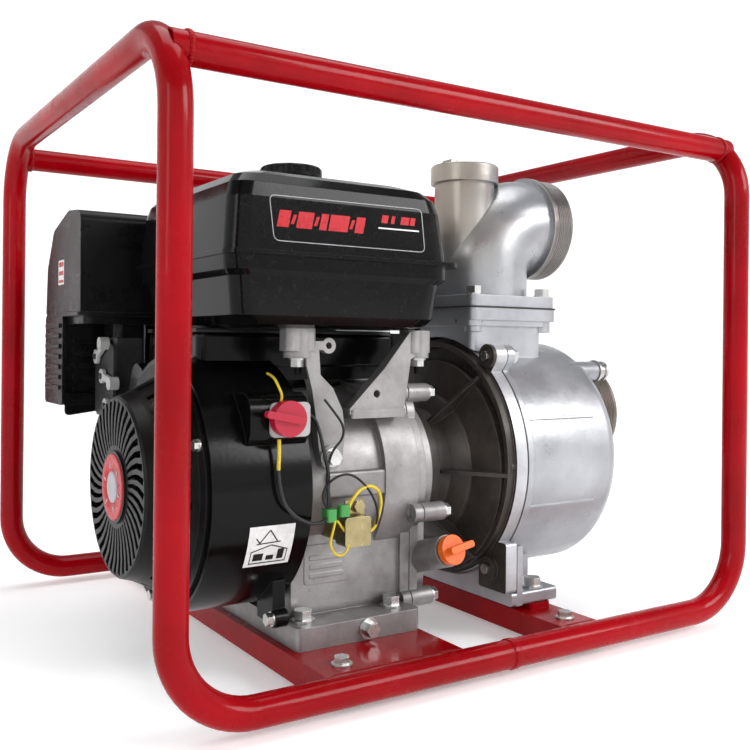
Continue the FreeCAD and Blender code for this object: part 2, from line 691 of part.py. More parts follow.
def blower_housing():
    outer = blower_solid(0)
    tower = rounded((-224, -170), (-199, -120), (204, 250), 16, X_AXIS)
    lug = cyl(8, 12, HOUSING_LUG, X_AXIS)
    web = box((HOUSING_LUG.x, HOUSING_LUG.x + 12), (HOUSING_LUG.y, HOUSING_LUG.y + 30),
              (HOUSING_LUG.z - 5, HOUSING_LUG.z + 32))
    shell = cut(fuse([outer, tower, lug, web]), [blower_solid(-SHEET)])
    inlet = crank_cyl(78, BLOWER_X0 - 1, BLOWER_X0 + 4)
    screws = [cyl(M6_R, 8, p, X_AXIS) for p in recoil_screws(BLOWER_X0 - 2)]
    switch_hole = cyl(9, 12, Vector(SWITCH.x, -201, SWITCH.z), Y_AXIS)
    return cut(shell, [inlet, switch_hole, cyl(M6_R, 14, HOUSING_LUG - X_AXIS, X_AXIS)]
               + screws)



def recoil_screws(x):
    return [crank_polar(x, 102, a) for a in (35.0, 155.0, 275.0)]


def curved_slot(index):
    """One swept air slot in the flat face of the recoil cover."""
    arc = []
    for k in range(4):
        radius = 36 + 13.0 * k
        lean = 2.6 * k * k / 3
        arc.append(crank_polar(RECOIL_FACE_X - 2, radius, index * 360 / RECOIL_SLOTS + lean))
    widths = (1.2, 1.9, 2.5, 3.0)
    left = []
    right = []
    for k, point in enumerate(arc):
        other = arc[min(k + 1, 3)] if k < 3 else arc[2]
        along = (other - point) if k < 3 else (point - other)
        side = X_AXIS.cross(along).normalize() * widths[k]
        left.append(point + side)
        right.append(point - side)
    outline = left + right[::-1]
    return Part.Face(Part.makePolygon(outline + [outline[0]])).extrude(Vector(8, 0, 0))


def recoil_starter_cover():
    """Slotted cover: flat face, bevelled rim, flange and the rope outlet."""
    face = RECOIL_FACE_X
    profile = [(face, 0), (face, RECOIL_FACE_R - 2), (face + 2, RECOIL_FACE_R),
               (face + 12, RECOIL_FACE_R + 3), (BLOWER_X0 - 3, 96), (BLOWER_X0 - 3, 108),
               (BLOWER_X0, 108), (BLOWER_X0, 92), (face + 13, RECOIL_FACE_R),
               (face + 3, RECOIL_FACE_R - 4), (face + 3, 0)]
    shell = revolve_profile(profile)
    hub = crank_cyl(32, face - 2, face + 3)
    spindle = crank_cyl(7, face, face + 24)
    outlet = cyl(9, 26, ROPE_EXIT - GRIP_AXIS * 26, GRIP_AXIS)
    trimmed = outlet.cut(crank_cyl(RECOIL_FACE_R - 8, face, BLOWER_X0))
    slots = [curved_slot(i) for i in range(RECOIL_SLOTS)]
    rim_slots = []
    for i in range(20):
        slot = box((face + 17, BLOWER_X0 - 8), (70, 110), (-3.2, 3.2))
        slot.rotate(Vector(0, 0, 0), X_AXIS, 18 * i + 4)
        slot.translate(CRANK)
        if abs(18 * i + 4 - 152) > 22:
            rim_slots.append(slot)
    rope_hole = cyl(3.6, 60, ROPE_EXIT - GRIP_AXIS * 45, GRIP_AXIS)
    screws = [cyl(M6_R, 8, p, X_AXIS) for p in recoil_screws(BLOWER_X0 - 5)]
    return cut(fuse([cut(shell, slots + rim_slots), hub, spindle, trimmed]), [rope_hole] + screws)


def starter_pulley():
    """Grooved rope drum that turns on the cover's spindle."""
    profile = [(-292, 7.0 + RUN_GAP), (-292, PULLEY_R + 4), (-282, PULLEY_R + 4), (-281, 35.5),
               (-273, 35.5), (-272, PULLEY_R + 4), (-269, PULLEY_R + 4), (-269, 7.0 + RUN_GAP)]
    return cut(revolve_profile(profile), [crank_ring(32, 18, -293, -286)])


def recoil_spring():
    """Flat spiral spring in the pulley's recess."""
    coils = [crank_ring(20.2 + 2.6 * i, 19.2 + 2.6 * i, -292, -286.5) for i in range(5)]
    links = [box((-292, -286.5), (19.6, 31.2), (-0.5, 0.5))]
    links[0].translate(CRANK)
    return fuse(coils + links)


def starter_grip():
    """Moulded T grip outside the rope outlet."""
    bar = Part.makeCylinder(8.5, 84, Vector(0, -42, 11), Y_AXIS)
    bar = bar.makeFillet(4, bar.Edges)
    neck = Part.makeCone(8, 9.5, 10, Vector(0, 0, 0.6))
    grip = fuse([bar, neck])
    grip.Placement = FreeCAD.Placement(ROPE_EXIT, Rotation(Z_AXIS, GRIP_AXIS))
    return grip.cut(cyl(ROPE_R, 8, ROPE_EXIT, GRIP_AXIS))


def starter_rope():
    """Straight end of the rope from the outlet into the grip."""
    return cyl(ROPE_R, 30, ROPE_EXIT - GRIP_AXIS * 22, GRIP_AXIS)


def engine_small_bolts():
    """Recoil cover screws, the tank nuts and the bracket bolts."""
    parts = [bolt(p, Vector(-1, 0, 0), M6_R, 6, 8.5, 4, 5.5) for p in recoil_screws(BLOWER_X0 - 3)]
    for x, y in STUDS:
        parts.append(nut(Vector(x, y, 271), Z_AXIS, M6_R, 12, 6))
        parts.append(ring(8.5, M6_R, 2, Vector(x, y, 277)))
    parts.append(bolt(BRACKET_BOLT - Y_AXIS * 8.0, Vector(0, -1, 0), M8_R, 16, 12, 6, 8.5))
    parts.append(bolt(HOUSING_LUG, Vector(-1, 0, 0), M6_R, 11, 10, 5, 6.5))
    return group(parts)


def ignition_coil():
    """Laminated core and moulded coil beside the flywheel rim."""
    core = box((-204, -186), (-24, 24), (88.6, 94))
    legs = [box((-204, -186), (-24, -17), (88.8, 97)), box((-204, -186), (17, 24), (88.8, 97))]
    coil = rounded((-210, -180), (-14, 14), (94, 108), 4, X_AXIS)
    unit = fuse([core, coil] + legs)
    unit.rotate(Vector(0, 0, 0), X_AXIS, 62)
    unit.translate(CRANK)
    return unit


# ----------------------------------------------------------------- fuel tank
def tank_wire(x0, x1, y0, y1, z, radius):
    """Rounded rectangle with a tighter radius at its corner on the -X, -Y side."""
    tight = radius * 0.6
    corners = [(x0 + tight, y0 + tight, 180, tight), (x1 - radius, y0 + radius, 270, radius),
               (x1 - radius, y1 - radius, 0, radius), (x0 + radius, y1 - radius, 90, radius)]
    edges = []
    last = None
    for cx, cy, start, r in corners:
        arc = []
        for degrees in (start, start + 45, start + 90):
            a = math.radians(degrees)
            arc.append(Vector(cx + r * math.cos(a), cy + r * math.sin(a), z))
        if last:
            edges.append(Part.LineSegment(last, arc[0]).toShape())
        else:
            first = arc[0]
        edges.append(Part.Arc(arc[0], arc[1], arc[2]).toShape())
        last = arc[2]
    edges.append(Part.LineSegment(last, first).toShape())
    return Part.Wire(edges)


def tank_half(sections, inset):
    """Ruled skin through sections of (z, left, right, front, back inset, corner radius)."""
    wires = []
    for z, left, right, front, back, radius in sections:
        wires.append(tank_wire(TANK_X[0] + left + inset, TANK_X[1] - right - inset,
                               TANK_Y[0] + front + inset, TANK_Y[1] - back - inset,
                               z, radius - inset))
    return Part.makeLoft(wires, True, True)


def tank_lip(z0, z1):
    outer = tank_wire(TANK_X[0] - 2, TANK_X[1] + TANK_LIP + 3, TANK_Y[0] - 3,
                      TANK_Y[1] + TANK_LIP, z0, 26)
    return Part.Face(outer).extrude(Vector(0, 0, z1 - z0))


def fuel_tank_upper():
    """Pressed upper half with rounded shoulders, the seam lip and the filler neck."""
    z0, z1 = TANK_Z[1], TANK_Z[2]
    t = TANK_SHEET
    outer = tank_half(TANK_UPPER, 0)
    inner = tank_half([(z0 - 1,) + TANK_UPPER[0][1:]]
                      + [(z - t,) + tuple(rest) for z, *rest in TANK_UPPER[1:]], t)
    neck = cyl(23, 6, Vector(CAP_POS[0], CAP_POS[1], z1 - 2))
    crown = Part.makeCone(36, 30, 2.5, Vector(CAP_POS[0], CAP_POS[1], z1 - 0.5))
    body = fuse([outer, tank_lip(z0, z0 + 2), neck, crown])
    return cut(body, [inner, cyl(20, 20, Vector(CAP_POS[0], CAP_POS[1], z1 - 8))])


def fuel_tank_lower():
    """Pressed lower half with its seam lip and the two mounting studs."""
    z0, z1 = TANK_Z[0], TANK_Z[1]
    t = TANK_SHEET
    outer = tank_half(TANK_LOWER, 0)
    inner = tank_half([(z + t,) + tuple(rest) for z, *rest in TANK_LOWER[:-1]]
                      + [(z1 + 1,) + TANK_LOWER[-1][1:]], t)
    studs = [cyl(M6_R, 46, Vector(x, y, z0 - 41)) for x, y in STUDS]
    body = fuse([outer, tank_lip(z1 - 2, z1)] + studs)
    return body.cut(inner)


def fuel_cap():
    """Black screw cap with a scalloped skirt."""
    z = TANK_Z[2]
    disc = cyl(CAP_R, 10.5, Vector(CAP_POS[0], CAP_POS[1], z + 6.6))
    disc = disc.makeFillet(4, [disc.Edges[0]])
    notches = []
    for i in range(12):
        a = math.radians(30 * i)
        at = Vector(CAP_POS[0] + 33 * math.cos(a), CAP_POS[1] + 33 * math.sin(a), z + 9)
        notches.append(cyl(6, 20, at))
    plug = cyl(19.4, 6, Vector(CAP_POS[0], CAP_POS[1], z + 1))
    return fuse([cut(disc, notches), plug])


def fuel_cap_gasket():
    return ring(23, 19.8, 2.2, Vector(CAP_POS[0], CAP_POS[1], TANK_Z[2] + 4.2))


def prism(points, depth):
    """Solid from a planar outline of vectors, pushed along depth."""
    return Part.Face(Part.makePolygon(points + [points[0]])).extrude(depth)


def tank_bracket_left():
    """Cast arm from the crankcase side up to the left tank stud."""
    x, y = STUDS[0]
    boss = cyl(13, 26, Vector(x, y, 279))
    cap = rounded((x - 16, x + 13), (y - 12, y + 8), (285, 305), 5)
    outline = [(-161, 290), (-148, 290), (-146, 264), (-133, 252), (-123, 232), (-120, 210),
               (-123, 190), (-130, 181), (-144, 183), (-147, 200), (-150, 225), (-154, 250),
               (-160, 272)]
    arm = prism([Vector(px, -176, pz) for px, pz in outline], Vector(0, 10, 0))
    seat_boss = cyl(11, 18, BRACKET_BOLT - Y_AXIS * 8, Y_AXIS)
    eye = ring(7, 3, 8, Vector(x + 27, y - 8, 290), Y_AXIS)
    eye_arm = box((x + 12, x + 24), (y - 8, y), (286, 294))
    body = fuse([boss, cap, arm, seat_boss, eye, eye_arm])
    return cut(body, [case_solid(CASE_X0, CASE_X1, 0), cyl(M6_R, 60, Vector(x, y, 260)),
                      cyl(9.2, 19, Vector(x, y, 260)),
                      cyl(M8_R, 40, BRACKET_BOLT - Y_AXIS * 12, Y_AXIS)])


def tank_bracket_right():
    """Cast triangular arm from the top of the crankcase out to the right tank stud."""
    x, y = STUDS[1]
    boss = cyl(11, 26, Vector(x, y, 279))
    outline = [(x - 13, 304), (x, 304), (x, 283), (-46, 278), (-54, 228), (-113, 228),
               (-113, 233), (-76, 269)]
    web = prism([Vector(px, -172, pz) for px, pz in outline], Vector(0, 12, 0))
    plate = rounded((-112, -52), (-174, -140), (224, 232), 3)
    cap = rounded((x - 13, x + 10), (-175, -150), (284, 305), 5)
    window = cyl(3.5, 60, Vector(-84, -190, 246), Y_AXIS)
    body = fuse([boss, web, plate, cap])
    return cut(body, [case_solid(CASE_X0, CASE_X1, 0), joint_outline(-48.2, CASE_X1, 4.2), window,
                      crank_cyl(COLLAR_R + 0.2, COLLAR_X0 - 0.2, CASE_X1),
                      cyl(M6_R, 60, Vector(x, y, 260))])


# ------------------------------------------------- air cleaner and carburettor
def air_cleaner_cover():
    """Box cover with a sloping back shoulder and a skirt."""
    outline = [Vector(-295, 48, 322), Vector(-295, 50, 424), Vector(-295, 96, 428),
               Vector(-295, 156, 412), Vector(-295, 182, 372), Vector(-295, 187, 322)]
    body = prism(outline, Vector(112, 0, 0))
    shoulder = [e for e in edges_along(body, X_AXIS) if e.BoundBox.ZMin > 360]
    body = body.makeFillet(12, shoulder)
    inner = prism([Vector(-292, 51, 321), Vector(-292, 53, 413), Vector(-292, 96, 418),
                   Vector(-292, 148, 404), Vector(-292, 176, 368), Vector(-292, 183, 321)],
                  Vector(106, 0, 0))
    return body.cut(inner)


def air_cleaner_base():
    """Filter tray under the cover with the elbow down to the carburettor."""
    tray = rounded((-289, -189), (54, 178), (310, 320.5), 8)
    lip = rounded((-296, -182), (47.5, 187.5), (318, 321.8), 8)
    filt = rounded((-280, -198), (64, 140), (320.5, 396), 12)
    duct = rounded((-256, -222), (60, 104), (296, 312), 8)
    panel = rounded((-295.5, -291.5), (114, 187), (224, 320), 6, X_AXIS)
    louvres = [rounded((-297.5, -294), (122, 180), (240 + 11 * i, 245 + 11 * i), 1.2, Y_AXIS)
               for i in range(7)]
    foot = rounded((-294, -262), (114, 122), (224, 236), 2, Y_AXIS)
    return fuse([tray, lip, filt, duct, panel, foot] + louvres)


def carburetor():
    """Body with float bowl, on the intake port behind its insulator block."""
    port = Vector(CYL_X - 70, -6, BARREL_TOP + 24)
    spacer = tilt(rounded((port.x - 10, port.x), (-30, 18), (port.z - 24, port.z + 24), 6, X_AXIS))
    centre = tilt(cyl(1, 1, port)).CenterOfMass
    body = rounded((port.x - 62, port.x - 10), (centre.y - 20, centre.y + 22),
                   (centre.z - 20, centre.z + 24), 7, X_AXIS)
    bowl = cyl(19, 24, Vector(port.x - 40, centre.y, centre.z - 42))
    bowl = bowl.makeFillet(4, [bowl.Edges[2]])
    throat = box((port.x - 88, port.x - 52), (62, 100), (centre.z - 18, 296))
    throat = throat.makeFillet(6, edges_along(throat, Z_AXIS))
    return fuse([spacer, body, bowl, throat, control_plate()])


def lever(pivot, axis, reach, thickness=3.5):
    """Flat lever with a round eye and a knob at its end."""
    length = Vector(reach).Length
    arm = box((0, length), (-3.5, 3.5), (0, thickness))
    eye = cyl(7.5, thickness, Vector(0, 0, 0))
    knob = cyl(6.5, thickness + 6, Vector(length, 0, -1))
    solid = fuse([arm, eye, knob])
    first = Vector(reach).normalize()
    last = Vector(axis).normalize()
    side = last.cross(first)
    turn = FreeCAD.Matrix(first.x, side.x, last.x, pivot.x, first.y, side.y, last.y, pivot.y,
                          first.z, side.z, last.z, pivot.z, 0, 0, 0, 1)
    return solid.transformGeometry(turn)


def throttle_lever():
    return lever(THROTTLE_PIVOT, Vector(-1, 0, 0), Vector(0, -42, -6)).cut(
        cyl(PIVOT_R + RUN_GAP, 40, THROTTLE_PIVOT - X_AXIS * 20, X_AXIS))


def choke_lever():
    return lever(CHOKE_PIVOT, Vector(-1, 0, 0), Vector(0, -30, 14)).cut(
        cyl(PIVOT_R + RUN_GAP, 40, CHOKE_PIVOT - X_AXIS * 20, X_AXIS))


def fuel_valve_lever():
    return lever(VALVE_PIVOT, Vector(-1, 0, 0), Vector(0, -30, -8)).cut(
        cyl(PIVOT_R + RUN_GAP, 40, VALVE_PIVOT - X_AXIS * 20, X_AXIS))


def control_plate():
    """Plate between carburettor and levers, with the three lever spindles."""
    plate = rounded((-261.0, -258.0), (50, 112), (214, 290), 10, X_AXIS)
    posts = [cyl(PIVOT_R, 9, p - X_AXIS * 5.5, X_AXIS)
             for p in (THROTTLE_PIVOT, CHOKE_PIVOT, VALVE_PIVOT)]
    stay = box((-258.5, -232), (70, 90), (232, 240))
    return fuse([plate, stay] + posts)


# -------------------------------------------------------- switch and sensing
def engine_switch_body():
    """Switch with a square rounded plate on the housing tower."""
    plate = rounded((SWITCH.x - 13, SWITCH.x + 24), (-201.5, -199), (SWITCH.z - 16, SWITCH.z + 13),
                    5, Y_AXIS)
    barrel = cyl(8.6, 9, Vector(SWITCH.x, -199.5, SWITCH.z), Y_AXIS)
    stem = cyl(4, 6, Vector(SWITCH.x, -207, SWITCH.z), Y_AXIS)
    return fuse([plate, barrel, stem])


def engine_switch_knob():
    """Round knob with a raised pointer bar that sticks out at one side."""
    disc = cyl(15, 10, Vector(SWITCH.x, -212.5, SWITCH.z), Y_AXIS)
    bar = box((-24, 12), (-217, -211), (-3, 3))
    bar = bar.makeFillet(2.4, edges_along(bar, Y_AXIS))
    bar.rotate(Vector(0, 0, 0), Y_AXIS, 12)
    bar.translate(Vector(SWITCH.x, 0, SWITCH.z))
    return fuse([disc, bar]).cut(cyl(4 + RUN_GAP, 8, Vector(SWITCH.x, -208, SWITCH.z), Y_AXIS))


def oil_sensor_unit():
    """Folded metal box with a mounting tab, on the side of the crankcase."""
    shell = rounded((-135, -109), (-203, -186), (115, 141), 3, Y_AXIS)
    tab = box((-126, -106), (-187, -184.8), (139, 153))
    screw = bolt(Vector(-114, -187, 148), Vector(0, -1, 0), M6_R, 3, 10, 4, 6)
    back = box((-132, -112), (-186, -150), (118, 138)).cut(case_solid(CASE_X0, CASE_X1, 0))
    return fuse([shell, tab, screw, back.Solids[0]])


def lead_tube(points, radius):
    """Thin lead through the points, each bend as wide as its two runs allow."""
    edges = []
    start = points[0]
    radii = []
    for before, corner, after in zip(points, points[1:], points[2:]):
        u = before - corner
        v = after - corner
        run = min(u.Length, v.Length)
        u.normalize()
        v.normalize()
        turn = math.pi - u.getAngle(v)
        bend = 0.45 * run / math.tan(turn / 2)
        radii.append(round(bend, 1))
        half = u.getAngle(v) / 2
        first = corner + u * (0.45 * run)
        last = corner + v * (0.45 * run)
        middle = corner + (u + v).normalize() * (bend / math.sin(half) - bend)
        edges.append(Part.LineSegment(start, first).toShape())
        edges.append(Part.Arc(first, middle, last).toShape())
        start = last
    edges.append(Part.LineSegment(start, points[-1]).toShape())
    path = Part.Wire(edges)
    tube = sweep(path, radius)
    print("lead", round(path.Length, 1), "mm, radii", radii,
          "volume ratio", round(tube.Volume / (math.pi * radius ** 2 * path.Length), 3))
    return tube


LEADS = [lead_tube(route, LEAD_R) for route in LEAD_ROUTES]


def engine_leads():
    return group(LEADS)


def lead_connectors():
    """Two push-on connector sleeves where the leads join."""
    first = rounded((-151, -141), (-200, -188), (138, 149), 2.5, Z_AXIS)
    second = rounded((-139, -129), (-202, -194), (142, 152), 2.5, Z_AXIS)
    return group([cut(first, LEADS), cut(second, LEADS)])


# ---------------------------------------------------------------------- pump
def pump_ears(x0, x1, radius):
    return [cyl(radius, x1 - x0, pump_polar(x0, EAR_PCD_R, a), X_AXIS) for a in PUMP_EAR_ANGLES]


def ear_webs(x0, x1):
    """Blocks that join each ear to the round flange."""
    webs = []
    for angle in PUMP_EAR_ANGLES:
        web = box((x0, x1), (104, EAR_PCD_R), (-12, 12))
        web.rotate(Vector(0, 0, 0), X_AXIS, angle)
        web.translate(Vector(0, PUMP_Y, PUMP_Z))
        webs.append(web)
    return webs


def pump_adapter():
    """Ribbed bell between the engine's drive face and the pump casing."""
    x0, x1 = ADAPTER_X
    plate = pump_cyl(FLANGE_R - 1, x0, x1)
    bell = revolve_profile([(PTO_FACE_X, 20), (PTO_FACE_X, 64), (6, 64), (8, 58), (22, 60),
                            (36, 77), (46, 110), (x0 + 1, 110), (x0 + 1, 20)])
    rim = pump_ring(FLANGE_R - 4, FLANGE_R - 9, x0 - 9, x0 + 1)
    ridge = crank_ring(75, 72, 34, 42)
    ribs = []
    for angle in (0.0, 53.0, 127.0, 180.0, 231.0, 309.0):
        rib = prism([Vector(10, 50, -2), Vector(10, 61, -2), Vector(x0 - 9, 118, -2),
                     Vector(x0 + 1, 124, -2), Vector(x0 + 1, 50, -2)], Vector(0, 0, 4))
        rib.rotate(Vector(0, 0, 0), X_AXIS, angle)
        rib.translate(CRANK)
        ribs.append(rib.common(pump_cyl(FLANGE_R - 5, 0, x1)))
    leg = rounded((x0, x1), (PUMP_FOOT_Y[0], -151), (PUMP_FOOT_Z[1] + 0.4, 96), 3, X_AXIS)
    knob = cyl(6, 6, pump_polar(x0 - 5, FLANGE_R - 9, 180), X_AXIS)
    body = fuse([plate, bell, rim, ridge, leg, knob] + ribs
                + pump_ears(x0 - 4, x1, 12) + ear_webs(x0, x1))
    hollow = revolve_profile([(PTO_FACE_X + 9, 16), (PTO_FACE_X + 9, 44), (20, 48), (36, 60),
                              (x1 + 1, 74), (x1 + 1, 16)])
    return cut(body, [hollow, crank_cyl(22, PTO_FACE_X - 1, PTO_FACE_X + 12),
                      seal_wall_bore()]
               + pump_ears(x0 - 5, x1 + 1, M10_R + FREE_GAP)
               + [cyl(M8_R + FREE_GAP, 20, crank_polar(PTO_FACE_X - 1, PTO_BOLT_R, a), X_AXIS)
                  for a in PTO_ANGLES])


def seal_wall_bore():
    return crank_cyl(26, ADAPTER_X[0], ADAPTER_X[1] + 1)


def joint_gaskets():
    """Side-cover gasket, casing gasket, discharge gasket and shaft seal."""
    side = joint_outline(CASE_X1, COVER_X0, 4).cut(case_solid(CASE_X1 - 1, COVER_X0 + 1, -CASE_WALL))
    side = cut(side, ear_cyls(CASE_X1 - 1, COVER_X0 + 1, M8_R + FREE_GAP))
    casing = pump_ring(FLANGE_R - 2, DRUM_R - DRUM_WALL + 1, ADAPTER_X[1], CASING_X0)
    port = rounded((FLANGE_X[0] - 1, FLANGE_X[1] + 1), (FLANGE_Y[0] - 1, FLANGE_Y[1] + 1),
                   (FLANGE_Z1, ELBOW_Z0), 8)
    port = cut(port, [cyl(PORT_BORE_R, 10, Vector(ELBOW_X, CRANK_Y, FLANGE_Z1 - 2))]
               + [cyl(M10_R + FREE_GAP, 10, Vector(x, y, FLANGE_Z1 - 2)) for x, y in flange_bolts()])
    return group([side, casing, port, mechanical_seal()])


def flange_bolts():
    return [(x, y) for x in (FLANGE_X[0] + 12, FLANGE_X[1] - 12)
            for y in (FLANGE_Y[0] + 12, FLANGE_Y[1] - 12)]


def pump_casing():
    """Drum with its joint flange, foot, discharge neck, suction seat and volute wall."""
    flange = pump_cyl(FLANGE_R, CASING_X0, CASING_X1)
    drum = pump_cyl(DRUM_R, CASING_X0, DRUM_X1)
    rim = [e for e in drum.Edges if e.BoundBox.XMin > DRUM_X1 - 0.01 and e.BoundBox.YLength > 10]
    drum = drum.makeFillet(16, rim)
    foot = rounded(PUMP_FOOT_X, PUMP_FOOT_Y, PUMP_FOOT_Z, 3, X_AXIS)
    upright = box((CASING_X0, CASING_X1), PUMP_FOOT_Y, (PUMP_FOOT_Z[0], 92))
    saddle = box(PUMP_FOOT_X, (-150, -22), (PUMP_FOOT_Z[0], 72))
    neck = rounded(NECK_X, NECK_Y, (230, FLANGE_Z1), 9)
    lip = rounded(FLANGE_X, FLANGE_Y, (FLANGE_Z0, FLANGE_Z1), 8)
    bevel = rounded((NECK_X[0] - 5, NECK_X[1] + 5), (NECK_Y[0] - 3, NECK_Y[1] + 3),
                    (FLANGE_Z0 - 6, FLANGE_Z0), 8)
    bosses = [cyl(9, 14, Vector(x, y, FLANGE_Z0 - 12)) for x, y in flange_bolts()]
    ribs = []
    for angle in (158.0, 200.0, -22.0, 20.0):
        rib = box((CASING_X1, 170), (DRUM_R - 3, DRUM_R + 2), (-1.5, 1.5))
        rib.rotate(Vector(0, 0, 0), X_AXIS, angle)
        rib.translate(Vector(0, PUMP_Y, PUMP_Z))
        ribs.append(rib)
    plug_boss = cyl(11, 40, Vector(180, PLUG_Y, PLUG_Z), X_AXIS)
    outer = fuse([flange, drum, foot, upright, saddle, neck, lip, bevel, plug_boss]
                 + bosses + ribs + pump_ears(CASING_X0, CASING_X1 + 2, 12)
                 + ear_webs(CASING_X0, CASING_X1))
    chamber = pump_cyl(DRUM_R - DRUM_WALL, CASING_X0 - 2, DRUM_X1 - DRUM_WALL)
    chimney = rounded((NECK_X[0] + 22, NECK_X[1] - 7), (NECK_Y[0] + 7, NECK_Y[1] - 7),
                      (220, FLANGE_Z1 + 1), 9)
    shell = cut(outer, [chamber, chimney, pump_cyl(FLANGE_R + 1.5, NECK_X[0] - 10, CASING_X0)])
    scroll = crank_ring(82, 76, 84, 126)
    wall = pump_cyl(DRUM_R - DRUM_WALL + 0.5, 126, 131).cut(crank_cyl(30, 125, 132))
    stays = []
    for angle in (20.0, 140.0, 260.0):
        stay = box((118, 131), (80, DRUM_R - DRUM_WALL - 8), (-4, 4))
        stay.rotate(Vector(0, 0, 0), X_AXIS, angle)
        stay.translate(CRANK)
        stays.append(stay)
    wall = cut(wall, [cyl(22, 20, crank_polar(120, 93, a), X_AXIS) for a in (60, 90, 120)])
    seat = cyl(PORT_R + 4, DRUM_WALL + 1, Vector(DRUM_X1 - DRUM_WALL, CRANK_Y, SUCTION_Z), X_AXIS)
    inside = fuse([shell, scroll, wall, seat.common(drum)] + stays)
    holes = [cyl(PORT_BORE_R - 4, 30, Vector(DRUM_X1 - 16, CRANK_Y, SUCTION_Z), X_AXIS),
             cyl(7, 50, Vector(176, PLUG_Y, PLUG_Z), X_AXIS)]
    holes += pump_ears(CASING_X0 - 1, CASING_X1 + 3, M10_R + FREE_GAP)
    holes += [cyl(M10_R + 0.5, 40, Vector(x, y, PUMP_FOOT_Z[0] - 2)) for x, y in PUMP_BOLTS]
    holes += [cyl(M10_R + FREE_GAP, 40, Vector(x, y, FLANGE_Z0 - 14)) for x, y in flange_bolts()]
    return cut(inside, holes)


def pump_bolts():
    """Flange bolts of the discharge, ear bolts of the casing, foot bolts and drive-face bolts."""
    parts = []
    for x, y in flange_bolts():
        parts.append(bolt(Vector(x, y, ELBOW_Z0 + ELBOW_T), Z_AXIS, M10_R, 38, 14, 7.5, 9, 1.5))
    for angle in PUMP_EAR_ANGLES:
        start = pump_polar(CASING_X1 + 2, EAR_PCD_R, angle)
        parts.append(bolt(start, X_AXIS, M10_R, 32, 14, 7, 9.5))
    for x, y in PUMP_BOLTS:
        parts.append(bolt(Vector(x, y, PUMP_FOOT_Z[1]), Z_AXIS, M10_R, 34, 15, 8, 10.5, 2))
        parts.append(nut(Vector(x, y, DECK_Z - PLATE_T - 8), Z_AXIS, M10_R, 15, 8))
    for angle in PTO_ANGLES:
        parts.append(bolt(crank_polar(PTO_FACE_X + 9, PTO_BOLT_R, angle), X_AXIS,
                          M8_R, 19, 11, 5, 7, 1))
    return group(parts)


def impeller():
    """Open impeller with six backward-curved vanes on the drive shaft's end."""
    back = crank_cyl(72, 86, 91)
    hub = crank_cyl(22, 72, 120)
    vanes = []
    for i in range(6):
        outer = ring(60, 57, 21, Vector(0, 34, 38), Z_AXIS)
        clip = box((-10, 70), (30, 100), (30, 70))
        vane = outer.common(clip)
        vane.rotate(Vector(0, 0, 0), Y_AXIS, 90)
        vane.translate(Vector(53, 0, 0))
        vane.rotate(Vector(0, 0, 0), X_AXIS, 60 * i)
        vane.translate(CRANK)
        vanes.append(vane)
    trim = crank_ring(72, 20, 86, 113)
    vanes = [vane.common(trim) for vane in vanes]
    body = fuse([back, hub] + [v for v in vanes if v.Volume > 1])
    return body.cut(crank_cyl(SHAFT_R, 60, 130))


def mechanical_seal():
    """Seal seat in the adapter's wall round the shaft."""
    return fuse([crank_ring(26, SHAFT_R + RUN_GAP, ADAPTER_X[0] + 3, ADAPTER_X[1]),
                 crank_ring(20, SHAFT_R + RUN_GAP, ADAPTER_X[0] - 4, ADAPTER_X[0] + 3)])


def elbow_path():
    """Centre line of the elbow, up from the flange and round to +X."""
    start = Vector(ELBOW_X, CRANK_Y, ELBOW_Z0)
    corner = Vector(ELBOW_X, CRANK_Y, PORT_Z)
    end = Vector(PORT_X[0] + 1, CRANK_Y, PORT_Z)
    return bent_path([start, corner, end], ELBOW_R + 1)


def discharge_elbow():
    """Cast elbow: square flange, bend, threaded outlet and priming neck."""
    flange = rounded((FLANGE_X[0] + 1, FLANGE_X[1] - 1), (FLANGE_Y[0] + 1, FLANGE_Y[1] - 1),
                     (ELBOW_Z0, ELBOW_Z0 + ELBOW_T), 8)
    bend = sweep(elbow_path(), ELBOW_R)
    bore = sweep(elbow_path(), PORT_BORE_R - 1)
    port = cyl(PORT_R, PORT_X[1] - PORT_X[0], Vector(PORT_X[0], CRANK_Y, PORT_Z), X_AXIS)
    collar = cyl(PORT_R + 1.5, 6, Vector(PORT_X[0], CRANK_Y, PORT_Z), X_AXIS)
    neck = cyl(PRIME_R, PRIME_TOP - ELBOW_Z0 - 1, Vector(PRIME_X, CRANK_Y, ELBOW_Z0 + 1))
    outer = fuse([flange, bend, port, collar, neck])
    mouth = cyl(PORT_BORE_R, 60, Vector(PORT_X[0] - 2, CRANK_Y, PORT_Z), X_AXIS)
    drop = cyl(PRIME_BORE_R, 90, Vector(PRIME_X, CRANK_Y, 400))
    bolts = [cyl(M10_R + FREE_GAP, 20, Vector(x, y, ELBOW_Z0 - 2)) for x, y in flange_bolts()]
    grooves = [thread_groove(PORT_Z, PORT_R + 1, PORT_R - 0.9, PORT_X[0] + 8 + 2.6 * i, 1.2)
               for i in range(7)]
    skirt_room = ring(37.7, PRIME_R, 30, Vector(PRIME_X, CRANK_Y, PRIME_TOP - 5.5))
    return cut(outer, [bore, mouth, drop, skirt_room] + bolts + grooves)


def thread_groove(z, outer, inner, x, width):
    """Ring about an axis parallel to X at height z in the pump's middle plane."""
    return ring(outer, inner, width, Vector(x, CRANK_Y, z), X_AXIS)


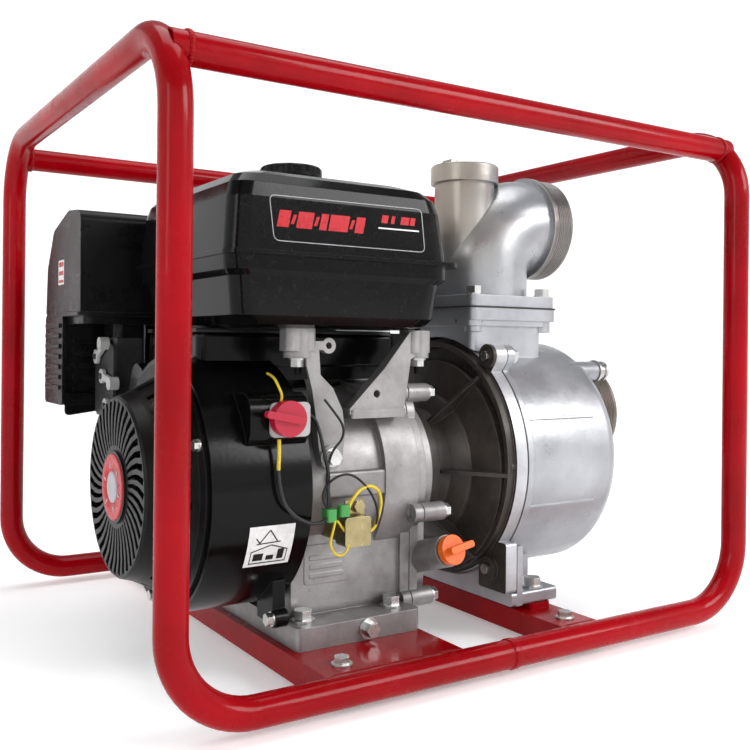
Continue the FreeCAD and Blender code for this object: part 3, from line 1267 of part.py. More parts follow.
def priming_cap():
    """Screw cap with two lugs on top and a plug that reaches into the neck."""
    base = Vector(PRIME_X, CRANK_Y, PRIME_TOP + 2.2)
    disc = cyl(37, 13, base)
    disc = disc.makeFillet(2.5, [disc.Edges[0]])
    lugs = []
    for side in (-1, 1):
        lug = rounded((PRIME_X + side * 20 - 5, PRIME_X + side * 20 + 5),
                      (CRANK_Y - 8, CRANK_Y + 8), (PRIME_TOP + 14, PRIME_TOP + 21), 3, Y_AXIS)
        lugs.append(lug)
    skirt = ring(37, PRIME_R + FREE_GAP, 7, base - Z_AXIS * 6.5)
    plug = cyl(PRIME_BORE_R - FREE_GAP, 6, base - Z_AXIS * 5)
    return fuse([disc, skirt, plug] + lugs)


def priming_cap_gasket():
    return ring(PRIME_R - 0.5, PRIME_BORE_R + 0.3, 1.8, Vector(PRIME_X, CRANK_Y, PRIME_TOP + 0.2))


def suction_flange():
    """Threaded suction port screwed to the end of the casing."""
    at = Vector(DRUM_X1, CRANK_Y, SUCTION_Z)
    port = cyl(PORT_R, SUCTION_X[1] - DRUM_X1, at, X_AXIS)
    plate = cyl(PORT_R + 5, 10, at, X_AXIS)
    bore = cyl(PORT_BORE_R, 80, at - X_AXIS * 2, X_AXIS)
    grooves = [thread_groove(SUCTION_Z, PORT_R + 1, PORT_R - 0.9, SUCTION_X[0] + 34 + 2.6 * i, 1.2)
               for i in range(10)]
    boss_room = cyl(11.5, 60, Vector(180, PLUG_Y, PLUG_Z), X_AXIS)
    hinge = cyl(2.5, 26, Vector(FLAP_X + 2, CRANK_Y - 13, FLAP_Z), Y_AXIS)
    ears = [box((FLAP_X - 2, FLAP_X + 6), (CRANK_Y + y0, CRANK_Y + y0 + 4),
                (FLAP_Z - 4, FLAP_Z + 5)) for y0 in (-16, 12)]
    seat = ring(PORT_BORE_R + 1, 35, 3, Vector(FLAP_X + 4.3, CRANK_Y, SUCTION_Z), X_AXIS)
    seat = seat.cut(box((FLAP_X, FLAP_X + 10), (CRANK_Y - 12, CRANK_Y + 12), (FLAP_Z - 6, FLAP_Z + 9)))
    body = cut(fuse([port, plate]), [bore, boss_room] + grooves)
    return fuse([body, hinge, seat] + ears)


def check_valve_flap():
    """Hinged flap that closes the suction opening from the inside."""
    disc = cyl(39, 4, Vector(FLAP_X, CRANK_Y, SUCTION_Z - 3), X_AXIS)
    arm = box((FLAP_X, FLAP_X + 4), (CRANK_Y - 7, CRANK_Y + 7), (SUCTION_Z + 25, FLAP_Z))
    knuckle = cyl(3.8, 20, Vector(FLAP_X + 2, CRANK_Y - 10, FLAP_Z), Y_AXIS)
    return fuse([disc, arm, knuckle]).cut(
        cyl(2.5 + RUN_GAP, 30, Vector(FLAP_X + 2, CRANK_Y - 15, FLAP_Z), Y_AXIS))


def casing_plug():
    """Small screw plug with its seal ring, on the boss beside the suction port."""
    at = Vector(220.4, PLUG_Y, PLUG_Z)
    return fuse([cyl(12.5, 3, at, X_AXIS), cyl(9.5, 8, at + X_AXIS * 3, X_AXIS),
                 cyl(11, 2.5, at + X_AXIS * 11, X_AXIS),
                 cyl(6.8, 22, at - X_AXIS * 22, X_AXIS)])


NODES = {
    "frame_tube_left": lambda: frame_tube(-1),
    "frame_tube_right": lambda: frame_tube(1),
    "top_rails": top_rails,
    "engine_crossmember": engine_crossmember,
    "pump_crossmember": pump_crossmember,
    "rubber_feet": rubber_feet,
    "crankcase": crankcase,
    "crankcase_side_cover": crankcase_side_cover,
    "side_cover_bolts": side_cover_bolts,
    "chassis_bolts": chassis_bolts,
    "oil_drain_plug": oil_drain_plug,
    "dipstick": dipstick,
    "dipstick_seal": dipstick_seal,
    "main_bearings": main_bearings,
    "crankshaft": crankshaft,
    "piston": piston,
    "flywheel": flywheel,
    "cooling_fan": cooling_fan,
    "cylinder_barrel": cylinder_barrel,
    "cylinder_head": cylinder_head,
    "valve_cover": valve_cover,
    "spark_plug": spark_plug,
    "cylinder_shroud": cylinder_shroud,
    "muffler": muffler,
    "blower_housing": blower_housing,
    "recoil_starter_cover": recoil_starter_cover,
    "starter_pulley": starter_pulley,
    "recoil_spring": recoil_spring,
    "starter_grip": starter_grip,
    "starter_rope": starter_rope,
    "engine_small_bolts": engine_small_bolts,
    "ignition_coil": ignition_coil,
    "fuel_tank_upper": fuel_tank_upper,
    "fuel_tank_lower": fuel_tank_lower,
    "fuel_cap": fuel_cap,
    "fuel_cap_gasket": fuel_cap_gasket,
    "tank_bracket_left": tank_bracket_left,
    "tank_bracket_right": tank_bracket_right,
    "air_cleaner_cover": air_cleaner_cover,
    "air_cleaner_base": air_cleaner_base,
    "carburetor": carburetor,
    "throttle_lever": throttle_lever,
    "choke_lever": choke_lever,
    "fuel_valve_lever": fuel_valve_lever,
    "engine_switch_body": engine_switch_body,
    "engine_switch_knob": engine_switch_knob,
    "oil_sensor_unit": oil_sensor_unit,
    "engine_leads": engine_leads,
    "lead_connectors": lead_connectors,
    "pump_adapter": pump_adapter,
    "joint_gaskets": joint_gaskets,
    "pump_casing": pump_casing,
    "pump_bolts": pump_bolts,
    "impeller": impeller,
    "discharge_elbow": discharge_elbow,
    "priming_cap": priming_cap,
    "priming_cap_gasket": priming_cap_gasket,
    "suction_flange": suction_flange,
    "check_valve_flap": check_valve_flap,
    "casing_plug": casing_plug,
}

os.makedirs("parts", exist_ok=True)
for name, build in NODES.items():
    build().exportStep("parts/" + name + ".step")
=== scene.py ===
import json
import math

import bmesh
import bpy
from mathutils import Matrix, Vector


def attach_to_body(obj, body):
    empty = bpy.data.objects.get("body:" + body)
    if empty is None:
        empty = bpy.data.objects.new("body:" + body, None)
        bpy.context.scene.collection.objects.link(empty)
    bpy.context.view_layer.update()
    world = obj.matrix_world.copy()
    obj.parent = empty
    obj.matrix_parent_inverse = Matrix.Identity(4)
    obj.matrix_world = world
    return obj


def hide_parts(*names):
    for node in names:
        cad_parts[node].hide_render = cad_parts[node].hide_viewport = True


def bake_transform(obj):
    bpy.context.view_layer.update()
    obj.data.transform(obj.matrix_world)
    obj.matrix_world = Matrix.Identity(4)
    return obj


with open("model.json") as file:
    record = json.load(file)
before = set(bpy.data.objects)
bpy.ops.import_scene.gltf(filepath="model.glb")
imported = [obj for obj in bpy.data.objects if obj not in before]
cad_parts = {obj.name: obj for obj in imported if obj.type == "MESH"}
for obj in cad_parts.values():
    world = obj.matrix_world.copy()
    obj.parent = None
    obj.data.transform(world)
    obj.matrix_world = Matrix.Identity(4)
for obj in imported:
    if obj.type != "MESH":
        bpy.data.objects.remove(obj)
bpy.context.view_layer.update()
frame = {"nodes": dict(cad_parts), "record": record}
ROOT = "frame_and_engine"
MM = 0.001
UP = Vector((0, 0, 1))

# Measures shared by several pieces, in millimetres.
CRANK_Y, CRANK_Z = -86, 165     # the crank axis, which runs along X
LABEL_RADIUS = 114.65           # face of the sticker on the blower drum
SKETCH_RADIUS = 114.8           # face of the lines drawn on that sticker
THIN_WIRE_RADIUS = 1.1


# ------------------------------------------------------------------- studio
CAMERA_AT = Vector((-0.5476, -0.8846, 0.2908))
CAMERA_HEADING = math.radians(32.87)     # from +Y towards +X
CAMERA_ROLL = math.radians(0.56)
CAMERA_LENS = 44.27
CAMERA_SENSOR = 36.0
CAMERA_SHIFT = (0.0006, -0.0397)
CAMERA_NEAR = 0.02
SKY_COLOUR = (0.93, 0.95, 1.0)
SKY_STRENGTH = 0.34
BACKDROP_GLOW = 0.27
LIGHTS = (                               # name, place, target, size in metres, watts
    ("key", (1.7, -2.3, 1.7), (0, 0, 0.25), (1.5, 1.1), 54),
    ("fill", (-2.6, -1.2, 1.2), (0, 0, 0.25), (0.7, 1.4), 10),
    ("top", (0.1, 0.2, 2.8), (0, 0, 0.2), (2.4, 1.6), 40),
)


def make_camera():
    data = bpy.data.cameras.new("camera")
    data.lens = CAMERA_LENS
    data.sensor_width = CAMERA_SENSOR
    data.shift_x, data.shift_y = CAMERA_SHIFT
    data.clip_start = CAMERA_NEAR
    camera = bpy.data.objects.new("camera", data)
    bpy.context.collection.objects.link(camera)
    forward = Vector((math.sin(CAMERA_HEADING), math.cos(CAMERA_HEADING), 0))
    level = forward.cross(UP)
    right = level * math.cos(CAMERA_ROLL) + UP * math.sin(CAMERA_ROLL)
    up = right.cross(forward)
    camera.matrix_world = (Matrix.Translation(CAMERA_AT)
                           @ Matrix((right, up, -forward)).transposed().to_4x4())
    bpy.context.scene.camera = camera
    bpy.context.scene.view_settings.view_transform = "Standard"


def area_light(name, place, target, size, watts):
    data = bpy.data.lights.new(name, "AREA")
    data.shape = "RECTANGLE"
    data.size, data.size_y = size
    data.energy = watts
    light = bpy.data.objects.new(name, data)
    bpy.context.collection.objects.link(light)
    light.location = place
    light.rotation_euler = (Vector(target) - Vector(place)).to_track_quat("-Z", "Y").to_euler()


def make_world():
    world = bpy.data.worlds.new("studio")
    world.use_nodes = True
    background = world.node_tree.nodes["Background"]
    background.inputs["Color"].default_value = (*SKY_COLOUR, 1)
    background.inputs["Strength"].default_value = SKY_STRENGTH
    bpy.context.scene.world = world


def make_backdrop():
    """Pale round floor that curves up into a wall far behind the object."""
    flat, bend, top = 3.2, 1.2, 3.0
    below_feet = 0.0005
    bend_steps, turns = 12, 72
    profile = [(flat * 0.5, 0.0), (flat, 0.0)]
    for i in range(1, bend_steps + 1):
        a = math.radians(90 * i / bend_steps)
        profile.append((flat + bend * math.sin(a), bend * (1 - math.cos(a))))
    profile.append((flat + bend, top))
    mesh = bmesh.new()
    rows = []
    for radius, z in profile:
        rows.append([mesh.verts.new((radius * math.cos(2 * math.pi * k / turns),
                                     radius * math.sin(2 * math.pi * k / turns), z - below_feet))
                     for k in range(turns)])
    mesh.faces.new(rows[0])
    for lower, upper in zip(rows, rows[1:]):
        for k in range(turns):
            n = (k + 1) % turns
            mesh.faces.new((lower[k], lower[n], upper[n], upper[k]))
    floor = new_object("backdrop", mesh)
    floor.data.materials.append(backdrop_paper())


# ---------------------------------------------------------------- mesh tools
def new_object(name, mesh, smooth=True):
    """Object made from a bmesh, which is then freed."""
    bmesh.ops.recalc_face_normals(mesh, faces=mesh.faces)
    data = bpy.data.meshes.new(name)
    mesh.to_mesh(data)
    mesh.free()
    for face in data.polygons:
        face.use_smooth = smooth
    made = bpy.data.objects.new(name, data)
    bpy.context.collection.objects.link(made)
    return made


# ----------------------------------------------------------------- materials
class Shader:
    """One Principled material, with its textures in the object's own coordinates."""

    def __init__(self, name, colour, roughness, metallic=0.0, **sockets):
        self.material = bpy.data.materials.new(name)
        self.material.use_nodes = True
        self.tree = self.material.node_tree
        self.surface = self.tree.nodes["Principled BSDF"]
        self.surface.inputs["Base Color"].default_value = (*colour, 1)
        self.surface.inputs["Roughness"].default_value = roughness
        self.surface.inputs["Metallic"].default_value = metallic
        for socket, value in sockets.items():
            title = socket.replace("_", " ").title().replace("Ior", "IOR")
            self.surface.inputs[title].default_value = value
        self.place = self.node("ShaderNodeTexCoord").outputs["Object"]
        self.normal = None

    def node(self, kind, **settings):
        made = self.tree.nodes.new(kind)
        for key, value in settings.items():
            setattr(made, key, value)
        return made

    def feed(self, socket, value):
        if isinstance(value, bpy.types.NodeSocket):
            self.tree.links.new(value, socket)
        elif isinstance(value, tuple) and len(value) == 3:
            socket.default_value = (*value, 1)
        else:
            socket.default_value = value

    def noise(self, per_metre, detail, roughness=0.55, stretch=None):
        """Noise texture; stretch scales its coordinates along the three axes."""
        made = self.node("ShaderNodeTexNoise")
        place = self.place
        if stretch:
            mapping = self.node("ShaderNodeMapping")
            mapping.inputs["Scale"].default_value = stretch
            self.feed(mapping.inputs["Vector"], place)
            place = mapping.outputs["Vector"]
        self.feed(made.inputs["Vector"], place)
        made.inputs["Scale"].default_value = per_metre
        made.inputs["Detail"].default_value = detail
        made.inputs["Roughness"].default_value = roughness
        return made.outputs["Fac"]

    def range(self, value, low, high, to_low=0.0, to_high=1.0):
        """Maps low..high to to_low..to_high, clamped."""
        made = self.node("ShaderNodeMapRange")
        self.feed(made.inputs["Value"], value)
        for socket, number in (("From Min", low), ("From Max", high),
                               ("To Min", to_low), ("To Max", to_high)):
            made.inputs[socket].default_value = number
        return made.outputs["Result"]

    def split(self, vector):
        """The three components of a vector socket."""
        made = self.node("ShaderNodeSeparateXYZ")
        self.feed(made.inputs["Vector"], vector)
        return made.outputs[0], made.outputs[1], made.outputs[2]

    def calc(self, operation, first, second):
        made = self.node("ShaderNodeMath", operation=operation)
        self.feed(made.inputs[0], first)
        self.feed(made.inputs[1], second)
        return made.outputs["Value"]

    def blend(self, factor, first, second):
        made = self.node("ShaderNodeMix", data_type="RGBA")
        self.feed(made.inputs["Factor"], factor)
        self.feed(made.inputs["A"], first)
        self.feed(made.inputs["B"], second)
        return made.outputs["Result"]

    def edges(self, radius):
        """Rounds the shading of sharp edges, and returns a mask that is 1 on them."""
        face_cosine, edge_cosine = 0.995, 0.86
        bevel = self.node("ShaderNodeBevel", samples=4)
        bevel.inputs["Radius"].default_value = radius
        self.normal = bevel.outputs["Normal"]
        true = self.node("ShaderNodeNewGeometry").outputs["Normal"]
        dot = self.node("ShaderNodeVectorMath", operation="DOT_PRODUCT")
        self.feed(dot.inputs[0], self.normal)
        self.feed(dot.inputs[1], true)
        return self.range(dot.outputs["Value"], face_cosine, edge_cosine)

    def bump(self, height, distance, strength):
        made = self.node("ShaderNodeBump")
        made.inputs["Strength"].default_value = strength
        made.inputs["Distance"].default_value = distance
        self.feed(made.inputs["Height"], height)
        if self.normal is not None:
            self.feed(made.inputs["Normal"], self.normal)
        self.normal = made.outputs["Normal"]

    def set(self, socket, value):
        self.feed(self.surface.inputs[socket], value)

    def done(self):
        if self.normal is not None:
            self.set("Normal", self.normal)
        return self.material


def backdrop_paper():
    paper = Shader("backdrop_paper", (0.94, 0.94, 0.94), 0.95, specular_ior_level=0.1)
    fibres = paper.blend(paper.noise(3, 2), (0.935, 0.935, 0.935), (0.96, 0.96, 0.96))
    paper.set("Base Color", fibres)
    paper.set("Emission Color", fibres)
    paper.surface.inputs["Emission Strength"].default_value = BACKDROP_GLOW
    return paper.done()


def red_enamel():
    """Gloss enamel over tube: slight orange peel, darker pooling and rare dull scuffs."""
    paint = Shader("red_enamel", (0.5, 0.01, 0.02), 0.25, specular_ior_level=0.06,
                   coat_weight=0.15, coat_roughness=0.03)
    worn = paint.edges(0.0006)
    cloud = paint.noise(9, 4)
    base = paint.blend(paint.range(cloud, 0.35, 0.65),
                       (0.235, 0.0004, 0.0025), (0.335, 0.0007, 0.005))
    specks = paint.range(paint.noise(420, 2), 0.70, 0.76)
    base = paint.blend(paint.calc("MULTIPLY", specks, 0.35), base, (0.22, 0.02, 0.02))
    base = paint.blend(paint.calc("MULTIPLY", worn, 0.2), base, (0.42, 0.01, 0.012))
    paint.set("Base Color", base)
    scuff = paint.range(paint.noise(38, 5, 0.7), 0.52, 0.72)
    paint.set("Roughness", paint.range(scuff, 0, 1, 0.20, 0.42))
    paint.bump(paint.noise(330, 2), 0.0004, 0.18)
    paint.bump(paint.noise(60, 2), 0.0010, 0.15)
    return paint.done()


def gloss_black():
    """Stoved black enamel on pressed sheet."""
    paint = Shader("gloss_black", (0.003, 0.003, 0.003), 0.10, specular_ior_level=0.11,
                   coat_weight=0.05, coat_roughness=0.03)
    paint.edges(0.0008)
    dust = paint.range(paint.noise(160, 5, 0.7), 0.55, 0.8)
    paint.set("Base Color", paint.blend(paint.calc("MULTIPLY", dust, 0.25),
                                        (0.003, 0.003, 0.003), (0.03, 0.03, 0.031)))
    paint.set("Roughness", paint.range(paint.noise(24, 4), 0.3, 0.7, 0.07, 0.17))
    paint.bump(paint.noise(14, 2), 0.0016, 0.22)
    paint.bump(paint.noise(500, 2), 0.0002, 0.12)
    return paint.done()


def satin_black(name, shade, roughness, grain):
    """Powder coat or moulded black with a slight grain and grey rubbed edges."""
    paint = Shader(name, (shade, shade, shade * 1.05), roughness, specular_ior_level=0.14)
    worn = paint.edges(0.0009)
    cloud = paint.range(paint.noise(26, 5, 0.65), 0.35, 0.7)
    base = paint.blend(cloud, (shade * 0.8, shade * 0.8, shade * 0.85),
                       (shade * 1.5, shade * 1.5, shade * 1.5))
    base = paint.blend(paint.calc("MULTIPLY", worn, 0.22), base, (0.08, 0.08, 0.08))
    paint.set("Base Color", base)
    paint.set("Roughness", paint.range(cloud, 0, 1, roughness * 0.85, min(1, roughness * 1.2)))
    paint.bump(paint.noise(grain, 3), 0.0003, 0.25)
    return paint.done()


def cast_metal(name, dark, light, roughness, metallic):
    """Sand or die casting: blotchy tone, grainy skin, small pits and brighter rubbed edges."""
    metal = Shader(name, light, roughness, metallic)
    worn = metal.edges(0.001)
    cloud = metal.range(metal.noise(22, 5, 0.65), 0.32, 0.68)
    base = metal.blend(cloud, dark, light)
    bright = tuple(min(1.0, c * 1.35) for c in light)
    base = metal.blend(metal.calc("MULTIPLY", worn, 0.55), base, bright)
    pit = metal.range(metal.noise(260, 3, 0.6), 0.66, 0.75)
    base = metal.blend(metal.calc("MULTIPLY", pit, 0.45), base, tuple(c * 0.45 for c in dark))
    metal.set("Base Color", base)
    metal.set("Roughness", metal.range(cloud, 0, 1, roughness + 0.08, roughness - 0.06))
    skin = metal.calc("SUBTRACT", metal.noise(700, 3), metal.calc("MULTIPLY", pit, 0.35))
    metal.bump(skin, 0.0005, 0.35)
    metal.bump(metal.noise(70, 3), 0.0010, 0.18)
    return metal.done()


def adapter_casting():
    """Dark stained bell whose −X faces carry painted shade; faces of the joint flange that do not
    face −X are painted bright alloy, as lit.
    """
    metal = Shader("adapter_brown", (0.05, 0.04, 0.034), 0.45, 0.35)
    worn = metal.edges(0.001)
    cloud = metal.range(metal.noise(24, 5, 0.65), 0.32, 0.68)
    # dark colour: the bell's stain, and painted shade on the flange's −X faces
    stain_and_shade = metal.blend(cloud, (0.020, 0.016, 0.013), (0.060, 0.048, 0.040))
    stain_and_shade = metal.blend(metal.calc("MULTIPLY", worn, 0.5), stain_and_shade, (0.16, 0.13, 0.11))
    alloy = metal.blend(cloud, (0.40, 0.40, 0.41), (0.56, 0.56, 0.58))
    # painted light: flange faces not facing −X are painted bright alloy as lit, and −X faces stay
    # dark as painted shade
    x = metal.split(metal.place)[0]
    facing = metal.split(metal.node("ShaderNodeTexCoord").outputs["Normal"])[0]
    on_flange = metal.range(x, 0.0556, 0.0562)
    lit_side_mask = metal.range(facing, -0.6, -0.2)
    bright = metal.calc("MULTIPLY", on_flange, lit_side_mask)
    metal.set("Base Color", metal.blend(bright, stain_and_shade, alloy))
    metal.set("Metallic", metal.range(bright, 0, 1, 0.3, 0.7))
    metal.set("Roughness", metal.range(cloud, 0, 1, 0.50, 0.36))
    metal.bump(metal.noise(520, 3), 0.0005, 0.35)
    metal.bump(metal.noise(60, 3), 0.0012, 0.2)
    return metal.done()


def pump_casting():
    """Bright silver paint over a casting, tinted tan towards −X and upwards round the priming
    neck.
    """
    metal = Shader("pump_silver", (0.5, 0.5, 0.52), 0.34, 0.7)
    worn = metal.edges(0.0012)
    cloud = metal.range(metal.noise(15, 4, 0.6), 0.3, 0.7)
    base = metal.blend(cloud, (0.31, 0.318, 0.335), (0.46, 0.47, 0.495))
    x, _, z = metal.split(metal.place)
    # tan tint, stronger towards −X and upwards round the priming neck
    tan_neck_tint = metal.calc("MULTIPLY", metal.range(x, 0.120, 0.060), metal.range(z, 0.350, 0.420))
    base = metal.blend(metal.calc("MULTIPLY", tan_neck_tint, 0.72), base, (0.36, 0.31, 0.235))
    thread = metal.calc("MULTIPLY", metal.range(x, 0.164, 0.167), metal.range(z, 0.355, 0.365))
    base = metal.blend(metal.calc("MULTIPLY", thread, 0.85), base, (0.16, 0.135, 0.11))
    base = metal.blend(metal.calc("MULTIPLY", worn, 0.35), base, (0.62, 0.62, 0.64))
    pit = metal.range(metal.noise(240, 3, 0.6), 0.68, 0.76)
    base = metal.blend(metal.calc("MULTIPLY", pit, 0.4), base, (0.16, 0.16, 0.17))
    metal.set("Base Color", base)
    metal.set("Roughness", metal.range(metal.noise(34, 4), 0.3, 0.7, 0.26, 0.42))
    metal.bump(metal.noise(420, 3), 0.0004, 0.22)
    metal.bump(metal.noise(36, 2), 0.0018, 0.25)
    return metal.done()


def lead_insulation():
    """Yellow leads, black along the runs beside the switch and up to the bracket."""
    lead = Shader("lead_yellow", (0.68, 0.50, 0.03), 0.4)
    x, _, z = lead.split(lead.place)
    left = lead.calc("LESS_THAN", x, -0.1370)
    stub = lead.calc("MULTIPLY", lead.calc("LESS_THAN", x, -0.190),
                     lead.calc("GREATER_THAN", z, 0.187))
    black = lead.calc("MULTIPLY", left, lead.calc("SUBTRACT", 1.0, stub))
    grime = lead.range(lead.noise(300, 3), 0.4, 0.8)
    yellow = lead.blend(grime, (0.70, 0.52, 0.03), (0.48, 0.34, 0.02))
    lead.set("Base Color", lead.blend(black, yellow, (0.008, 0.008, 0.009)))
    lead.set("Roughness", lead.range(grime, 0, 1, 0.34, 0.5))
    lead.bump(lead.noise(900, 2), 0.0001, 0.3)
    return lead.done()


def machined(name, colour, roughness, ring=False):
    """Turned, ground or plated steel: fine streaks, round the X axis if ring, and dulling."""
    metal = Shader(name, colour, roughness, 1.0)
    worn = metal.edges(0.0004)
    cloud = metal.range(metal.noise(90, 4), 0.35, 0.7)
    base = metal.blend(cloud, tuple(c * 0.78 for c in colour), colour)
    base = metal.blend(metal.calc("MULTIPLY", worn, 0.5), base, (0.9, 0.9, 0.88))
    metal.set("Base Color", base)
    metal.set("Roughness", metal.range(cloud, 0, 1, roughness * 1.35, roughness * 0.8))
    stretch = (0.05, 1, 1) if ring else (1, 1, 0.08)
    metal.bump(metal.noise(1500, 2, stretch=stretch), 0.0001, 0.3)
    return metal.done()


def plastic(name, colour, roughness, grain=900):
    """Moulded plastic or rubber with a fine grain and a little ground-in dirt."""
    moulded = Shader(name, colour, roughness)
    worn = moulded.edges(0.0005)
    cloud = moulded.range(moulded.noise(60, 4, 0.6), 0.4, 0.75)
    dull = tuple(c * 0.62 for c in colour)
    pale = tuple(min(1.0, c * 1.25 + 0.02) for c in colour)
    base = moulded.blend(moulded.calc("MULTIPLY", cloud, 0.3), colour, dull)
    base = moulded.blend(moulded.calc("MULTIPLY", worn, 0.4), base, pale)
    moulded.set("Base Color", base)
    moulded.set("Roughness", moulded.range(cloud, 0, 1, roughness, min(1, roughness * 1.3)))
    moulded.bump(moulded.noise(grain, 2), 0.0002, 0.3)
    return moulded.done()


def glaze(name, colour, roughness):
    """Printed ink or a paper label: slight mottling and a faint fibre relief."""
    ink = Shader(name, colour, roughness, specular_ior_level=0.3)
    cloud = ink.range(ink.noise(220, 4, 0.6), 0.35, 0.7)
    ink.set("Base Color", ink.blend(cloud, tuple(c * 0.82 for c in colour), colour))
    ink.set("Roughness", ink.range(cloud, 0, 1, roughness * 0.85, roughness * 1.15))
    ink.bump(ink.noise(1600, 2), 0.00005, 0.3)
    return ink.done()


def make_materials():
    """The finish of every material slot in the record."""
    return {
        "frame_red": red_enamel(),
        "rubber_black": plastic("rubber_black", (0.022, 0.022, 0.022), 0.75, 500),
        "cast_aluminium": cast_metal("cast_aluminium", (0.20, 0.19, 0.185), (0.335, 0.325, 0.32),
                                     0.44, 0.6),
        "zinc_steel": machined("zinc_steel", (0.62, 0.62, 0.60), 0.28),
        "dark_steel": machined("dark_steel", (0.34, 0.34, 0.35), 0.30, ring=True),
        "cast_iron_grey": cast_metal("cast_iron_grey", (0.035, 0.035, 0.036), (0.08, 0.08, 0.08),
                                     0.45, 0.6),
        "adapter_brown": adapter_casting(),
        "pump_silver": pump_casting(),
        "thread_alloy": cast_metal("thread_alloy", (0.13, 0.105, 0.085), (0.24, 0.21, 0.18),
                                   0.42, 0.7),
        "tank_black": gloss_black(),
        "housing_black": satin_black("housing_black", 0.0025, 0.17, 240),
        "recoil_black": satin_black("recoil_black", 0.005, 0.32, 420),
        "plastic_black": satin_black("plastic_black", 0.004, 0.28, 900),
        "muffler_black": satin_black("muffler_black", 0.02, 0.55, 300),
        "orange_plastic": plastic("orange_plastic", (0.78, 0.13, 0.006), 0.34),
        "red_plastic": plastic("red_plastic", (0.42, 0.004, 0.028), 0.34),
        "grey_plastic": plastic("grey_plastic", (0.42, 0.42, 0.41), 0.5),
        "sensor_brass": machined("sensor_brass", (0.40, 0.33, 0.17), 0.30),
        "lead_yellow": lead_insulation(),
        "connector_green": plastic("connector_green", (0.05, 0.30, 0.06), 0.42),
        "gasket_dark": plastic("gasket_dark", (0.03, 0.026, 0.023), 0.7),
        "bronze": cast_metal("bronze", (0.30, 0.19, 0.08), (0.45, 0.30, 0.14), 0.4, 1.0),
        "ceramic_white": plastic("ceramic_white", (0.78, 0.77, 0.73), 0.2),
        "filter_foam": plastic("filter_foam", (0.20, 0.19, 0.165), 0.85, 300),
    }


def dress_nodes(materials):
    """Gives each CAD node the finish of its slot."""
    for part in frame["record"]["subparts"]:
        node = frame["nodes"][part["node"]]
        node.data.materials.clear()
        node.data.materials.append(materials[part["material_slot"]])


# ------------------------------------------------------------- detail pieces
def at(x, y, z):
    """Point given in millimetres."""
    return Vector((x, y, z)) * MM


def attach(piece, material, body=ROOT):
    """Gives a piece its finish (a slot's, by name, or a material) and its body."""
    piece.data.materials.append(MATERIALS[material] if isinstance(material, str) else material)
    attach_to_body(piece, body)
    return piece


def add_loops(mesh, loops, closed=False):
    """Skins a row of equal vertex loops, each given as points."""
    rows = [[mesh.verts.new(point) for point in loop] for loop in loops]
    pairs = list(zip(rows, rows[1:])) + ([(rows[-1], rows[0])] if closed else [])
    for first, second in pairs:
        for k in range(len(first)):
            n = (k + 1) % len(first)
            mesh.faces.new((first[k], first[n], second[n], second[k]))
    if not closed:
        mesh.faces.new(rows[0])
        mesh.faces.new(rows[-1])


def add_weld_ring(mesh, centre, radius, bead, ripples=34):
    """Bead of weld right round a tube that runs along X."""
    sides = 8
    loops = []
    steps = ripples * 4
    for i in range(steps):
        turn = 2 * math.pi * i / steps
        swell = bead * (1 + 0.16 * math.sin(ripples * turn) + 0.08 * math.sin(5 * turn))
        out = Vector((0, math.cos(turn), math.sin(turn)))
        loops.append([centre + out * (radius + 0.7 * swell * math.sin(a))
                      + Vector((swell * math.cos(a), 0, 0))
                      for a in (2 * math.pi * k / sides for k in range(sides))])
    add_loops(mesh, loops, closed=True)


def add_weld_run(mesh, start, end, bead):
    """Straight bead of weld between two points, thinner towards its ends."""
    sides, step_length, steps_per_ripple = 8, 0.55 * MM, 4.6
    along = end - start
    steps = max(24, int(along.length / step_length))
    side = along.normalized().cross(UP)
    up = side.cross(along.normalized())
    loops = []
    for i in range(steps + 1):
        t = i / steps
        ends = min(1.0, 12 * t, 12 * (1 - t))
        swell = bead * (0.35 + 0.65 * math.sqrt(max(0.0, ends)))
        swell *= (1 + 0.13 * math.sin(2 * math.pi * t * steps / steps_per_ripple)
                  + 0.06 * math.sin(23 * t))
        loops.append([start + along * t + side * swell * math.cos(a)
                      + up * swell * 0.8 * math.sin(a)
                      for a in (2 * math.pi * k / sides for k in range(sides))])
    add_loops(mesh, loops)


def make_welds():
    """Beads at the top rails' ends, at the loops' butt joints and along the cross members."""
    rail_x, rail_y, rail_z = 300.5, 247, 505
    butt_x, butt_y, butt_z = 3.2, 263.5, 18
    member_y, member_z = 254.2, 27.4
    member_ends = ((-178, -47), (78, 117))
    mesh = bmesh.new()
    for y in (-rail_y, rail_y):
        for x in (-rail_x, rail_x):
            add_weld_ring(mesh, at(x, y, rail_z), 12.4 * MM, 2.4 * MM)
    for y in (-butt_y, butt_y):
        for x in (-butt_x, butt_x):
            add_weld_ring(mesh, at(x, y, butt_z), 12.6 * MM, 1.1 * MM, 40)
    for y in (-member_y, member_y):
        for x0, x1 in member_ends:
            add_weld_run(mesh, at(x0, y, member_z), at(x1, y, member_z), 2.3 * MM)
    attach(new_object("frame_welds", mesh), "frame_red")


def hose(name, radius, material, slot, points):
    """Round hose or lead through points in millimetres, held at both ends."""
    curve = bpy.data.curves.new(name, "CURVE")
    curve.dimensions = "3D"
    spline = curve.splines.new("NURBS")
    spline.points.add(len(points) - 1)
    for target, point in zip(spline.points, points):
        target.co = (*at(*point), 1)
    spline.order_u = 3
    spline.use_endpoint_u = True
    spline.resolution_u = 12
    curve.bevel_depth = radius * MM
    curve.bevel_resolution = 5
    curve.use_fill_caps = True
    made = bpy.data.objects.new(name, curve)
    bpy.context.collection.objects.link(made)
    return attach(made, material)


def add_plate(mesh, outline, rise):
    """Thin plate on an outline of points, raised by the rise vector; its back stays open."""
    low = [mesh.verts.new(point) for point in outline]
    high = [mesh.verts.new(point + rise) for point in outline]
    mesh.faces.new(high)
    for k in range(len(low)):
        n = (k + 1) % len(low)
        mesh.faces.new((low[k], low[n], high[n], high[k]))


